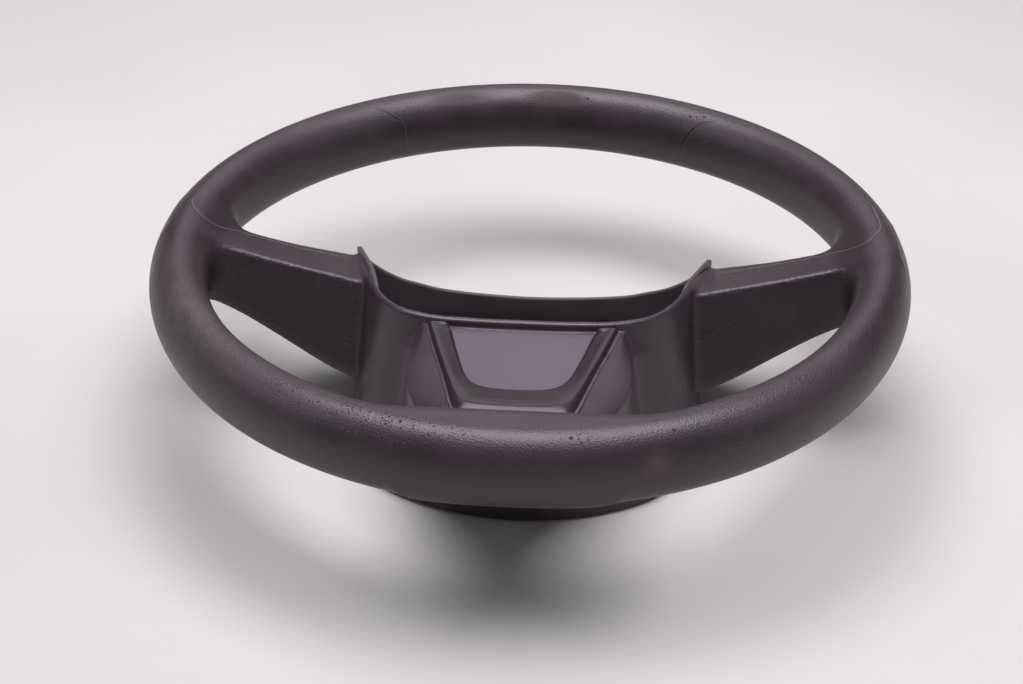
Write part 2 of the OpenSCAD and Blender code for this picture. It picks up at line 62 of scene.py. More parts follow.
# =============================================================================
# camera
# =============================================================================
cam_data = bpy.data.cameras.new("view")
cam_data.sensor_fit = "HORIZONTAL"
cam_data.sensor_width = 36.0
cam_data.lens = 36.0 * 1859.48 / 1023.0
cam_data.clip_start = 0.05
cam_data.clip_end = 20.0
camera = bpy.data.objects.new("view", cam_data)
bpy.context.scene.collection.objects.link(camera)
c_right = Vector((0.99787276, 0.06476531, 0.00744357))
c_up = Vector((-0.04055683, 0.52733951, 0.84868615))
c_fwd = Vector((-0.05104014, 0.84718268, -0.52884441))
camera.matrix_world = Matrix((
    (c_right.x, c_up.x, -c_fwd.x, 0.03941),
    (c_right.y, c_up.y, -c_fwd.y, -0.79811),
    (c_right.z, c_up.z, -c_fwd.z, 0.45178 + RIM_Z * MM),
    (0, 0, 0, 1)))
bpy.context.scene.camera = camera


# =============================================================================
# curve helpers, the same control points as the solid model, mm from the rim plane
# =============================================================================
def cr(a, b, c, d, t):
    return 0.5 * ((2 * b) + (c - a) * t + (2 * a - 5 * b + 4 * c - d) * t * t + (3 * b - a - 3 * c + d) * t ** 3)


def mir(p):
    q = np.array(p, float)
    q[0] = -q[0]
    return q


def curve(pts, k, m0=False, m1=False):
    pts = [np.array(p, float) for p in pts]
    n = len(pts)
    out = []
    for i in range(n - 1):
        a = (mir(pts[1]) if m0 else 2 * pts[0] - pts[1]) if i == 0 else pts[i - 1]
        d = (mir(pts[n - 2]) if m1 else 2 * pts[n - 1] - pts[n - 2]) if i == n - 2 else pts[i + 2]
        for j in range(k):
            out.append(cr(a, pts[i], pts[i + 1], d, j / k))
    out.append(pts[-1])
    return out


OK = 5


def outline(near, far, k=OK):
    h = curve(near, k, True, False)[:-1] + curve(far, k, False, True)
    return np.array(h + [mir(h[i]) for i in range(len(h) - 2, 0, -1)])


def both(v):
    return np.array(list(v) + [mir(v[i]) for i in range(len(v) - 2, -1, -1)])


FAR_EDGE = [[90.8, 38.3], [78, 42.8], [60, 47.2], [40, 50.3], [20, 51.9], [0, 52.3]]
POCKET = outline([[0, -53.6], [25, -53.2], [44, -51.3], [58, -45.5], [67, -35], [72.8, -22.5],
                  [76.5, -9.5], [80, 3.5], [84.5, 19], [90.8, 38.3]], FAR_EDGE)
FAR_IN = [[88, 37], [76, 39.5], [58, 43.8], [39, 47], [20, 48.5], [0, 49]]


def far_at(z):
    return [p + [z] for p in FAR_IN]


LIP = outline([[0, -57.2, 0], [25, -56.8, 0], [44, -54.8, 0], [58, -49, -0.2], [68.5, -38, -1.2],
               [75, -24, -3.2], [79.5, -10, -7], [83.3, 3, -11.2], [87, 19, -15.2], [91.6, 38, -19.6]], far_at(-19.6))
MID_A = outline([[0, -58.6, -12], [25, -58.2, -12], [44.5, -56.2, -12], [59, -50.5, -12],
                 [69.5, -39.8, -13], [76, -26, -14], [80.3, -11.5, -17], [84, 2, -20], [87.3, 18.5, -23],
                 [91.6, 38, -26]], far_at(-26))
MID_B = outline([[0, -63, -34], [26, -62.6, -34], [46, -60.6, -34], [61, -55.5, -34], [71.5, -45, -34],
                 [78, -31.5, -34], [82, -15, -34], [85, 0, -34], [87.3, 18, -34], [91, 37.8, -34]], far_at(-34))
MID_C = outline([[0, -78, -52], [26, -76.5, -52], [46, -72, -52], [61.5, -64, -52], [72, -53, -52],
                 [79.5, -38, -52], [83.5, -20, -52], [86, -2, -52], [87, 18, -52], [90.8, 37.6, -52]], far_at(-52))
FOOT = outline([[0, -98, -64], [27, -94, -64], [47, -85.5, -64], [61, -74, -64], [72, -60.5, -64],
                [80, -44, -64], [84.3, -25, -64], [86.5, -4, -64], [87, 18, -64], [90.8, 37.6, -64]], far_at(-64))
COV_1 = outline([[0, -104], [27, -100.5], [48, -91], [61.5, -78], [72.5, -63], [80.3, -45], [84.5, -26],
                 [86.6, -4], [87.4, 18], [90.8, 38.3]], FAR_EDGE)
COV_2 = outline([[0, -106.3], [28, -102.4], [50.5, -93.4], [66.5, -82.6], [77, -68], [83.5, -48.5],
                 [87, -27], [88, -4], [88, 17], [88.4, 36]],
                [[88.4, 36], [76, 41], [58.5, 45.4], [39, 48.4], [20, 50], [0, 50.4]])
COV_3 = outline([[0, -106], [28, -102.2], [50.5, -93.2], [66.5, -82.4], [76.8, -67.6], [83, -48.5],
                 [86.4, -27], [87.2, -4], [87, 17], [86, 34]],
                [[86, 34], [74, 38.8], [57, 43], [38, 45.8], [19.5, 47.2], [0, 47.6]])


def inset(o, d):
    t = np.roll(o, -1, 0) - np.roll(o, 1, 0)
    t = t / np.linalg.norm(t, axis=1)[:, None]
    return np.stack([o[:, 0] - t[:, 1] * d, o[:, 1] + t[:, 0] * d], 1)


COV_4 = inset(COV_3, 2.2)

SP_FL = [[76, -6.6, -12], [84, -6.3, -10.2], [100, -5.2, -6.9], [120, -4.2, -2.7], [140, -3.6, 2.4], [154, -4.2, 6.4], [168, -6, 9.8]]
SP_FU = [[76, 38.5, -23.5], [84, 38.5, -21.5], [100, 36.5, -17.1], [120, 32, -10.9], [140, 28.8, -4], [154, 30, 0], [168, 34, 2.8]]
SP_BU = [[76, 35, -54], [84, 34.5, -52], [100, 31.5, -46], [120, 28, -35.5], [140, 25.5, -23], [154, 26, -15.5], [168, 30, -10]]
SP_BL = [[76, -22, -63.9], [84, -21.5, -63], [100, -20, -56.3], [120, -18, -43.9], [140, -16, -32], [154, -15, -25], [168, -14, -18]]
LO = [[-48, -3.8, 48.4, 49.8, -6, 54.6, 60, -64], [-60, -3.8, 45.9, 48.8, -6.5, 53, 58.5, -64],
      [-75, -3.8, 41.7, 51, -8, 52, 56, -64], [-90, -3.8, 37.7, 51.5, -8.5, 51, 50, -64],
      [-101, -4, 34.8, 49.5, -9, 48, 40, -62], [-112, -4.5, 32.4, 45.5, -9.5, 43.5, 33, -47],
      [-124, -5.5, 30.5, 40.5, -10, 38.5, 31, -33], [-138, -6.5, 31, 36.5, -9, 36, 31, -23.5],
      [-152, -5, 34, 37, -7, 36.5, 34, -17], [-166, -2, 38, 40, -3.5, 39.5, 38, -12]]
TR_OUT = [[45.8, -57.6], [41.4, -75], [36.1, -94], [31.4, -112], [28.2, -124], [25.2, -130], [19, -132.4], [8, -133], [0, -133]]
TR_MID = [[43.3, -57.6], [38.3, -76], [32.7, -96], [28.6, -109.5], [25.8, -117.5], [23.4, -121.6], [18.5, -124.8], [9, -126], [0, -126.2]]
TR_IN = [[34.6, -57.6], [30.1, -77], [26.6, -90.5], [23.8, -99], [21, -103.5], [17.5, -106.6], [12.5, -108.6], [6, -109.4], [0, -109.5]]
RC, RA, RB = 171.15, 13.85, 18.6
FLAT_Y = -161.0           # middle of the rim section along its straight inner edge
PART_Z, REST_Z, HUB_TOP = -64.0, -80.0, -60.5
PLATE_Z, POST_Z, BOSS_TOP = HUB_TOP + 12, HUB_TOP + 3, HUB_TOP + 8
HORN_POSTS = [(-50, 9), (50, 9), (0, -40)]
COVER_POSTS = [(-57, -33), (57, -33), (-64, 27), (64, 27)]
BEZEL_BOSS = [(-12, -119.5), (12, -119.5)]
INSERT_PEGS = [(-22, -70), (22, -70), (0, -99)]
COLUMN_D = 78.0


# =============================================================================
# distance fields
# =============================================================================
pool = ThreadPoolExecutor(4)


def many(fn, x, y, z, size=24000):
    """fn over many points, in equal parts side by side."""
    n = len(x)
    if n <= size:
        return fn(x, y, z)
    parts = [slice(a, min(n, a + size)) for a in range(0, n, size)]
    return np.concatenate(list(pool.map(lambda q: fn(x[q], y[q], z[q]), parts)))


def smin(a, b, k):
    h = np.clip(0.5 + 0.5 * (b - a) / k, 0, 1)
    return b + (a - b) * h - k * h * (1 - h)


def smax(a, b, k):
    return -smin(-a, -b, k)


def poly_sd(px, py, vx, vy, chunk=3000):
    """Signed distance (negative inside) to a closed outline, shared (M) or one per point (N, M)."""
    n = len(px)
    out = np.empty(n, f32)
    own = vx.ndim == 2
    for s in range(0, n, chunk):
        e = min(n, s + chunk)
        x = px[s:e, None].astype(f32)
        y = py[s:e, None].astype(f32)
        ax = (vx[s:e] if own else vx[None]).astype(f32)
        ay = (vy[s:e] if own else vy[None]).astype(f32)
        bx, by = np.roll(ax, -1, 1), np.roll(ay, -1, 1)
        ex, ey = bx - ax, by - ay
        wx, wy = x - ax, y - ay
        t = (wx * ex + wy * ey) / (ex * ex + ey * ey + 1e-9)
        np.clip(t, 0, 1, out=t)
        d2 = ((wx - ex * t) ** 2 + (wy - ey * t) ** 2).min(1)
        cross = ex * wy - ey * wx
        up_ = (ay <= y) & (by > y) & (cross > 0)
        dn_ = (ay > y) & (by <= y) & (cross < 0)
        wn = up_.sum(1) - dn_.sum(1)
        d = np.sqrt(d2)
        out[s:e] = np.where(wn != 0, -d, d)
    return out


class Table:
    """Outlines that change along one axis: rows at even steps, blended between rows."""

    def __init__(self, stations, rows_u, rows_v, lo, hi, step, soft):
        self.lo, self.step = lo, step
        s = np.arange(lo, hi + step * 0.5, step)
        n = rows_u.shape[1]
        U = np.empty((len(s), n))
        V = np.empty((len(s), n))
        st = np.broadcast_to(stations if stations.ndim == 2 else stations[:, None], rows_u.shape)
        for i in range(n):
            order = np.argsort(st[:, i])
            U[:, i] = np.interp(s, st[order, i], rows_u[order, i])
            V[:, i] = np.interp(s, st[order, i], rows_v[order, i])
        if soft > 0:
            r = int(math.ceil(3 * soft / step))
            g = np.exp(-0.5 * (np.arange(-r, r + 1) * step / soft) ** 2)
            g /= g.sum()
            for A in (U, V):
                # linear extension keeps the ends' slope
                top = A[0] + (A[0] - A[1]) * np.arange(r, 0, -1)[:, None]
                end = A[-1] + (A[-1] - A[-2]) * np.arange(1, r + 1)[:, None]
                P = np.vstack([top, A, end])
                for i in range(n):
                    A[:, i] = np.convolve(P[:, i], g, "valid")
        self.U, self.V, self.n = U.astype(f32), V.astype(f32), len(s)

    def sd(self, s, u, v, chunk=3000):
        out = np.empty(len(s), f32)
        for a in range(0, len(s), chunk):
            b = min(len(s), a + chunk)
            q = np.clip((s[a:b] - self.lo) / self.step, 0, self.n - 1.001)
            i = q.astype(int)
            t = (q - i).astype(f32)[:, None]
            U = self.U[i] * (1 - t) + self.U[i + 1] * t
            V = self.V[i] * (1 - t) + self.V[i + 1] * t
            out[a:b] = poly_sd(u[a:b], v[a:b], U, V)
        return out


def corner(p, a, b, r, k=5):
    u = (a - p) / np.linalg.norm(a - p)
    w = (b - p) / np.linalg.norm(b - p)
    s = math.sqrt(max(0.001, (1 + u @ w) / 2))
    q = math.sqrt(max(0.001, 1 - s * s))
    l = r * s / q
    return [(1 - t) ** 2 * (p + u * l) + 2 * t * (1 - t) * p + t * t * (p + w * l) for t in np.linspace(0, 1, k)]


def spoke_ring(i):
    p = [np.array(q[i], float) for q in (SP_FL, SP_FU, SP_BU, SP_BL)]
    r = [3.0, 7, 9, 5]
    out = []
    for j in range(4):
        out += corner(p[j], p[(j + 3) % 4], p[(j + 1) % 4], r[j])
    return np.array(out)


def resample(rings, k):
    out = []
    n = len(rings)
    for i in range(n - 1):
        a = 2 * rings[0] - rings[1] if i == 0 else rings[i - 1]
        d = 2 * rings[n - 1] - rings[n - 2] if i == n - 2 else rings[i + 2]
        for j in range(k + (i == n - 2)):
            out.append(cr(a, rings[i], rings[i + 1], d, j / k))
    return np.array(out)


sp = resample([spoke_ring(i) for i in range(len(SP_FL))], 4)          # rows, corners, xyz
SPOKE = Table(sp[:, :, 0], sp[:, :, 1], sp[:, :, 2], 70, 172, 1.0, 2.5)


def lo_ring(s):
    y, zt, a, sh, zs, b, c, zb = s
    h = zt - zb
    e = [[0, zt], [a - 4, zt], [a - 1, zt - 0.2], [(a + sh) / 2, zt * 0.45 + zs * 0.55 + 0.35], [sh - 1.2, zs + 0.2],
         [sh + 0.3, zs - min(2.2, h * 0.04)], [b, zt - h * 0.32],
         [(b + c) / 2 + 1, zt - h * 0.62], [c, zb + min(5, h * 0.16)], [c - 3, zb + 0.6], [c - 8, zb], [0, zb]]
    side = curve([[e[1][0], e[1][1]]] + e[2:11], 3)
    full = [np.array(e[0], float)] + side + [np.array(e[11], float)]
    pts = full + [mir(full[i]) for i in range(len(full) - 2, 0, -1)]
    return np.array([[y, p[0], p[1]] for p in pts])


lo_rows = resample([lo_ring(s) for s in LO], 4)
LOWER = Table(lo_rows[:, :, 0], lo_rows[:, :, 1], lo_rows[:, :, 2], -170, -44, 1.0, 2.5)

hub_rings = np.array([FOOT, MID_C, MID_B, MID_A, LIP])
HUB = Table(hub_rings[:, :, 2], hub_rings[:, :, 0], hub_rings[:, :, 1], -68, 4, 0.5, 1.8)

cov_rings = np.array([COV_4, COV_3, COV_2, COV_1])
COVER = Table(np.array([-80.0, -77.6, -72.0, -64.0]), cov_rings[:, :, 0], cov_rings[:, :, 1], -80.5, -63.5, 0.25, 0.5)

TRIM_OUT = both(curve(TR_OUT, 8, False, True))
TRIM_MID = both(curve(TR_MID, 8, False, True))
TRIM_IN = both(curve(TR_IN, 8, False, True))


def lip_z(ax):
    return np.interp(ax, [0, 50, 58, 63, 69, 75, 79.5, 83.3, 87, 91.6, 96], [0, 0, -0.2, -0.55, -1.3, -3.2, -7, -11.2, -15.2, -19.6, -23.5]).astype(f32)


def rim_sd(x, y, z):
    r = np.sqrt(x * x + y * y) - RC
    # at six o'clock the inner edge runs straight, so the crest widens to a flat there
    flat = np.maximum(smin(-r, y - FLAT_Y, 5.0), 0)
    r = np.where((r < 0) & (y < 0), flat, r)
    k0 = np.sqrt((r / RA) ** 2 + (z / RB) ** 2)
    k1 = np.sqrt((r / RA ** 2) ** 2 + (z / RB ** 2) ** 2)
    return np.where(k0 < 1e-3, -RA, k0 * (k0 - 1) / np.maximum(k1, 1e-6)).astype(f32)


def on(mask, fn, *args, far=60.0):
    out = np.full(len(mask), far, f32)
    i = np.nonzero(mask)[0]
    if len(i):
        out[i] = fn(*[a[i] for a in args])
    return out


def spoke_sd(ax, y, z):
    d = SPOKE.sd(ax, y, z)
    return np.maximum(d, np.maximum(70 - ax, ax - 170))


def lower_sd(x, y, z):
    d = LOWER.sd(y, x, z)
    return np.maximum(d, np.maximum(-168 - y, y + 47))


def hub_sd(x, y, z):
    d = HUB.sd(z, x, y)
    return smax(d, z - lip_z(np.abs(x)), 1.8)


def moulding(x, y, z):
    ax = np.abs(x)
    rim = rim_sd(x, y, z)
    side = on((ax > 50) & (ax < 192) & (y > -50) & (y < 72) & (z < 32), spoke_sd, ax, y, z)
    low = on((ax < 85) & (y < -25) & (y > -190) & (z < 25), lower_sd, x, y, z)
    hub = on((ax < 118) & (y > -130) & (y < 75) & (z < 26), hub_sd, x, y, z)
    pocket = on((ax < 125) & (y > -85) & (y < 85), lambda a, b: poly_sd(a, b, POCKET[:, 0], POCKET[:, 1]), x, y)
    kh = 0.8 + 9.0 * np.clip((-6 - z) / 10, 0, 1)
    body = smin(hub, low, kh.astype(f32))
    body = smin(body, side, 5.0)
    body = smin(body, rim, 13.0)
    body = smax(body, -pocket, 1.6)
    body = np.maximum(body, PART_Z - z)
    # seat under the lower trim
    m = (ax < 60) & (y < -45) & (y > -145) & (z > -20)
    seat = on(m, lambda a, b, c: np.maximum(poly_sd(a, b, TRIM_OUT[:, 0], TRIM_OUT[:, 1]) + 1.6, -8 - c), x, y, z)
    body = np.maximum(body, -seat)
    # hollow behind the lower spoke, closed by the rear cover
    m = (ax < 60) & (y < -50) & (y > -110) & (z < -10)
    if m.any():
        H1 = np.array([[-45, -60], [-41, -74], [-26, -84], [26, -84], [41, -74], [45, -60]], float)
        H2 = np.array([[-37, -61], [-30, -88], [-14, -96], [14, -96], [30, -88], [37, -61]], float)
        h1 = on(m, lambda a, b, c: smax(poly_sd(a, b, H1[:, 0], H1[:, 1]), c + 36, 3), x, y, z)
        h2 = on(m, lambda a, b, c: smax(smax(poly_sd(a, b, H2[:, 0], H2[:, 1]), c + 16.5, 3), -40 - c, 1), x, y, z)
        body = np.maximum(body, -np.minimum(h1, h2))
    for cx, cy in BEZEL_BOSS:
        near = (np.abs(x - cx) < 9) & (np.abs(y - cy) < 9) & (z < -15)
        if near.any():
            bore = on(near, lambda a, b, c: np.maximum(np.sqrt((a - cx) ** 2 + (b - cy) ** 2) - 5.5, c + 23), x, y, z)
            body = smax(body, -bore, 0.6)
    return body


TETRA = ((1, -1, -1), (-1, -1, 1), (-1, 1, -1), (1, 1, 1))


def slope_at(fn, p, h=0.2):
    """Value and gradient of a field, from four points round each point."""
    g = np.zeros_like(p)
    f = np.zeros(len(p))
    for k in TETRA:
        v = many(fn, p[:, 0] + h * k[0], p[:, 1] + h * k[1], p[:, 2] + h * k[2])
        f += v / 4
        for i in range(3):
            g[:, i] += k[i] * v / (4 * h)
    return f, g


def settle(fn, p, rounds=1, cap=0.8, normals=True):
    """Moves points onto the surface, and returns them with their outward normals."""
    for _ in range(rounds):
        f, g = slope_at(fn, p)
        step = -(f / np.maximum((g * g).sum(1), 0.2))[:, None] * g
        l = np.linalg.norm(step, axis=1)
        step *= np.minimum(1, cap / np.maximum(l, 1e-9))[:, None]
        p = p + step
    if not normals:
        return p, None
    f, g = slope_at(fn, p, 0.3)
    return p, g / np.maximum(np.linalg.norm(g, axis=1), 1e-6)[:, None]


def nets(fn, xs, ys, zs, block=4):
    """Surface nets over a grid of planes; only the cells near the surface are worked out finely."""
    xs, ys, zs = (np.asarray(a, f32) for a in (xs, ys, zs))
    n = (len(xs), len(ys), len(zs))
    F = np.full(n, 9.0, f32)
    bs = [np.arange(0, m, block) for m in n]
    cen, half = [], []
    for a, b in zip((xs, ys, zs), bs):
        e = np.minimum(b + block, len(a) - 1)
        cen.append((a[b] + a[e]) / 2)
        half.append((a[e] - a[b]) / 2)
    CX, CY, CZ = np.meshgrid(*cen, indexing="ij")
    HX, HY, HZ = np.meshgrid(*half, indexing="ij")
    R = np.sqrt(HX ** 2 + HY ** 2 + HZ ** 2).ravel()
    d = many(fn, CX.ravel(), CY.ravel(), CZ.ravel())
    act = np.abs(d) < 1.5 * R + 2.0
    BI, BJ, BK = np.meshgrid(*bs, indexing="ij")
    BI, BJ, BK = BI.ravel(), BJ.ravel(), BK.ravel()
    inside = np.nonzero((~act) & (d < 0))[0]
    for q in inside:
        F[BI[q]:BI[q] + block, BJ[q]:BJ[q] + block, BK[q]:BK[q] + block] = -9.0
    q = np.nonzero(act)[0]
    o = np.arange(block)
    OI, OJ, OK_ = (a.ravel() for a in np.meshgrid(o, o, o, indexing="ij"))
    I = (BI[q][:, None] + OI).ravel()
    J = (BJ[q][:, None] + OJ).ravel()
    K = (BK[q][:, None] + OK_).ravel()
    keep = (I < n[0]) & (J < n[1]) & (K < n[2])
    I, J, K = I[keep], J[keep], K[keep]
    F[I, J, K] = many(fn, xs[I], ys[J], zs[K])
    S = F < 0
    # cells with a sign change
    c = np.zeros((n[0] - 1, n[1] - 1, n[2] - 1), np.int8)
    for a in (0, 1):
        for b in (0, 1):
            for g in (0, 1):
                c += S[a:n[0] - 1 + a, b:n[1] - 1 + b, g:n[2] - 1 + g]
    ci, cj, ck = np.nonzero((c > 0) & (c < 8))
    idx = np.full(c.shape, -1, np.int32)
    idx[ci, cj, ck] = np.arange(len(ci))
    acc = np.zeros((len(ci), 3), np.float64)
    cnt = np.zeros(len(ci))
    corners = [(a, b, g) for a in (0, 1) for b in (0, 1) for g in (0, 1)]
    P = {k: np.stack([xs[ci + k[0]], ys[cj + k[1]], zs[ck + k[2]]], 1) for k in corners}
    V = {k: F[ci + k[0], cj + k[1], ck + k[2]] for k in corners}
    for k1 in corners:
        for ax_ in range(3):
            if k1[ax_] == 0:
                k2 = tuple(1 if i == ax_ else k1[i] for i in range(3))
                v1, v2 = V[k1], V[k2]
                m = (v1 < 0) != (v2 < 0)
                t = np.where(m, v1 / np.where(m, v1 - v2, 1), 0)[:, None]
                acc += np.where(m[:, None], P[k1] + (P[k2] - P[k1]) * t, 0)
                cnt += m
    verts = acc / np.maximum(cnt, 1)[:, None]
    quads = []
    # x edges
    A, B = S[:-1, 1:-1, 1:-1], S[1:, 1:-1, 1:-1]
    i, j, k = np.nonzero(A != B)
    j, k = j + 1, k + 1
    fl = S[i, j, k]
    qd = np.stack([idx[i, j - 1, k - 1], idx[i, j, k - 1], idx[i, j, k], idx[i, j - 1, k]], 1)
    quads.append(np.where(fl[:, None], qd, qd[:, ::-1]))
    A, B = S[1:-1, :-1, 1:-1], S[1:-1, 1:, 1:-1]
    i, j, k = np.nonzero(A != B)
    i, k = i + 1, k + 1
    fl = S[i, j, k]
    qd = np.stack([idx[i - 1, j, k - 1], idx[i - 1, j, k], idx[i, j, k], idx[i, j, k - 1]], 1)
    quads.append(np.where(fl[:, None], qd, qd[:, ::-1]))
    A, B = S[1:-1, 1:-1, :-1], S[1:-1, 1:-1, 1:]
    i, j, k = np.nonzero(A != B)
    i, j = i + 1, j + 1
    fl = S[i, j, k]
    qd = np.stack([idx[i - 1, j - 1, k], idx[i, j - 1, k], idx[i, j, k], idx[i - 1, j, k]], 1)
    quads.append(np.where(fl[:, None], qd, qd[:, ::-1]))
    return verts, np.concatenate(quads)


def raw_mesh(name, verts, faces):
    """A mesh from arrays: verts in mm from the rim plane, faces all of one size."""
    me = bpy.data.meshes.new(name)
    me.vertices.add(len(verts))
    me.vertices.foreach_set("co", ((verts + ZOFF) * MM).astype(f32).ravel())
    k = faces.shape[1]
    me.loops.add(len(faces) * k)
    me.polygons.add(len(faces))
    me.loops.foreach_set("vertex_index", faces.astype(np.int32).ravel())
    me.polygons.foreach_set("loop_start", np.arange(0, len(faces) * k, k, dtype=np.int32))
    me.update(calc_edges=True)
    me.validate()
    me.polygons.foreach_set("use_smooth", np.ones(len(me.polygons), bool))
    return me


def coords(me):
    a = np.empty(len(me.vertices) * 3, f32)
    me.vertices.foreach_get("co", a)
    return a.reshape(-1, 3).astype(np.float64) / MM - ZOFF


def put(name, me):
    o = bpy.data.objects.new(name, me)
    bpy.context.scene.collection.objects.link(o)
    return o


def field_piece(name, fn, xs, ys, zs, limit, marks=None):
    """One closed mesh of a distance field, under a triangle limit, with true surface normals."""
    v, q = nets(fn, xs, ys, zs)
    v, _ = settle(fn, v, 1, normals=False)
    say("%s: netted" % name)
    # two triangles a quad, across the shorter diagonal
    d1 = np.linalg.norm(v[q[:, 0]] - v[q[:, 2]], axis=1)
    d2 = np.linalg.norm(v[q[:, 1]] - v[q[:, 3]], axis=1)
    a = np.where((d1 <= d2)[:, None], q[:, [0, 1, 2]], q[:, [0, 1, 3]])
    b = np.where((d1 <= d2)[:, None], q[:, [0, 2, 3]], q[:, [1, 2, 3]])
    me = raw_mesh(name, v, np.concatenate([a, b]))
    o = put(name, me)
    tris = len(me.polygons)
    if tris > limit:
        mod = o.modifiers.new("thin", "DECIMATE")
        mod.ratio = limit / tris
        dg = bpy.context.evaluated_depsgraph_get()
        new = bpy.data.meshes.new_from_object(o.evaluated_get(dg), depsgraph=dg)
        o.modifiers.clear()
        o.data = new
        new.name = name
        me = new
    say("%s: thinned" % name)
    p, nrm = settle(fn, coords(me), 1, 0.3)
    p[:, 2] = np.clip(p[:, 2], REST_Z + 0.01, RB - 0.01)
    me.vertices.foreach_set("co", ((p + ZOFF) * MM).astype(f32).ravel())
    me.polygons.foreach_set("use_smooth", np.ones(len(me.polygons), bool))
    me.update()
    me.normals_split_custom_set_from_vertices(nrm.tolist())
    if marks:
        for key, val in marks(p, nrm).items():
            at = me.attributes.new(key, "FLOAT", "POINT")
            at.data.foreach_set("value", np.asarray(val, f32))
    say("%s: %d triangles, %d before thinning" % (name, len(me.polygons), tris))
    return o


def grid(lo, hi, step):
    n = int(math.ceil((hi - lo) / step))
    return lo + (hi - lo) * np.arange(n + 1) / n


# =============================================================================
# the foam moulding: rim, spokes and hub wall in one skin
# =============================================================================
COARSE = 1.05


def smooth01(a, b, v):
    t = np.clip((v - a) / (b - a), 0, 1)
    return t * t * (3 - 2 * t)


# parting lines of the skin that show in the photograph, as points on the surface (mm)
SEAMS = [
    [(-170.2, 25, 18.6), (-170.6, 18, 18.6), (-169, 12.7, 18.5), (-165.8, 8.8, 17.4), (-161.4, 6.3, 14.3), (-155.9, 9.9, 8.5),
     (-148.3, 18.9, 1.1), (-140.4, 20.8, -2.2), (-132.3, 21.8, -4.8), (-124.2, 22.5, -7.4), (-115.8, 23.3, -9.9), (-103.4, 25, -13.4),
     (-93, 26.5, -16.3)],
    [(168.2, 44.8, 18.2), (170, 36, 18.3), (171.3, 22.6, 18.5), (170.9, 14.9, 18.6), (169.2, 11.2, 18.5), (163.7, 5, 16.2),
     (157, 9, 9.7), (149.9, 18.2, 2.3), (142.1, 20.3, -1.6), (134.7, 20.8, -3.9), (117.4, 22.6, -9.4), (99.8, 23.3, -13.9), (91.3, 24, -16)],
    [(-98, 138.6, 18.3), (-91, 137.7, 16.7), (-82.8, 137.8, 12.4), (-77.9, 137.9, 7.4), (-76.9, 137.2, -0.2), (-76.6, 138.3, -6.2), (-76, 141, -11)],
    [(100, 136.6, 18.2), (94.3, 135.6, 16.8), (88.4, 136.3, 14.5), (81.7, 136.3, 8.8), (78.2, 136.5, 1.8), (77, 138.4, -6), (76.4, 141, -11)],
]


def seam_marks(p, n):
    """Signed distance across the nearest parting line (mm), and how strongly the line shows there."""
    off = np.full(len(p), 9.0)
    show = np.zeros(len(p))
    best = np.full(len(p), 9.0)
    for pts in SEAMS:
        c = np.array(curve([list(q) for q in pts], 10))
        box = np.all((p > c.min(0) - 9) & (p < c.max(0) + 9), axis=1)
        ids = np.nonzero(box)[0]
        q, nn = p[ids], n[ids]
        seg = c[1:] - c[:-1]
        ln = np.linalg.norm(seg, axis=1)
        run = np.concatenate([[0], np.cumsum(ln)])
        tan = seg / ln[:, None]
        dist = np.full(len(ids), 1e9)
        side = np.zeros(len(ids))
        along = np.zeros(len(ids))
        for i in range(len(seg)):
            d = q - c[i]
            t = d @ tan[i]
            tc = np.clip(t, 0, ln[i])
            e = d - tc[:, None] * tan[i]
            l = np.linalg.norm(e, axis=1)
            m = l < dist
            b = np.cross(tan[i], nn)
            b /= np.maximum(np.linalg.norm(b, axis=1), 1e-6)[:, None]
            s = (b * e).sum(1)
            dist = np.where(m, l, dist)
            side = np.where(m, s, side)
            along = np.where(m, run[i] + t, along)
        fade = smooth01(0, 9, along) * (1 - smooth01(run[-1] - 5, run[-1], along))
        m = dist < best[ids]
        k = ids[m]
        best[k] = dist[m]
        off[k] = np.clip(side[m], -9, 9)
        show[k] = fade[m]
    return off, show


def rim_spot(p, turn, round_, along, across, soft=0.5):
    """A soft oval on the rim: degrees clockwise from twelve, degrees round the section, half sizes in mm."""
    r = np.hypot(p[:, 0], p[:, 1])
    a = np.degrees(np.arctan2(p[:, 0], p[:, 1]))
    b = np.degrees(np.arctan2(p[:, 2] / RB, (r - RC) / RA))
    da = (a - turn + 180) % 360 - 180
    db = (b - round_ + 180) % 360 - 180
    d = np.sqrt((np.radians(da) * r / along) ** 2 + (np.radians(db) * 16.2 / across) ** 2)
    return (1 - smooth01(1 - soft, 1 + soft, d)) * (np.abs(r - RC) < 17)


def moulding_marks(p, n):
    x, y, z = p[:, 0], p[:, 1], p[:, 2]
    ax = np.abs(x)
    r = np.hypot(x, y)
    # leather grain below each spoke's lower edge; the face above it is smoother
    fl = np.interp(ax, [q[0] for q in SP_FL], [q[1] for q in SP_FL])
    spoke = smooth01(78.6, 79.4, ax) * (1 - smooth01(150, 159, r)) * (y > -40) * (1 - smooth01(fl + 0.5, fl + 3.5, y))
    hub = (1 - smooth01(78.6, 79.4, ax)) * (1 - smooth01(112, 126, r))
    seam, show = seam_marks(p, n)
    return {"spoke": spoke, "hub": hub, "seam": seam, "seam_on": show,
            "stain": rim_spot(p, 2.0, 126, 16, 5.0, 0.35),
            "dark": rim_spot(p, -17.2, 119.5, 14, 3.4, 0.85),
            "pale_wear_and_highlight": rim_spot(p, -121, 68, 46, 17, 0.7),
            "pits": np.maximum(rim_spot(p, -159, 66, 44, 7, 0.5), 0.3 * rim_spot(p, 172, 66, 16, 5, 0.6)),
            "scuff": rim_spot(p, 160.2, 20, 5.0, 4.4, 0.85),
            "crease": np.maximum(rim_spot(p, 118, 60, 70, 26, 0.5), 0.8 * rim_spot(p, -118, 60, 60, 22, 0.5))}


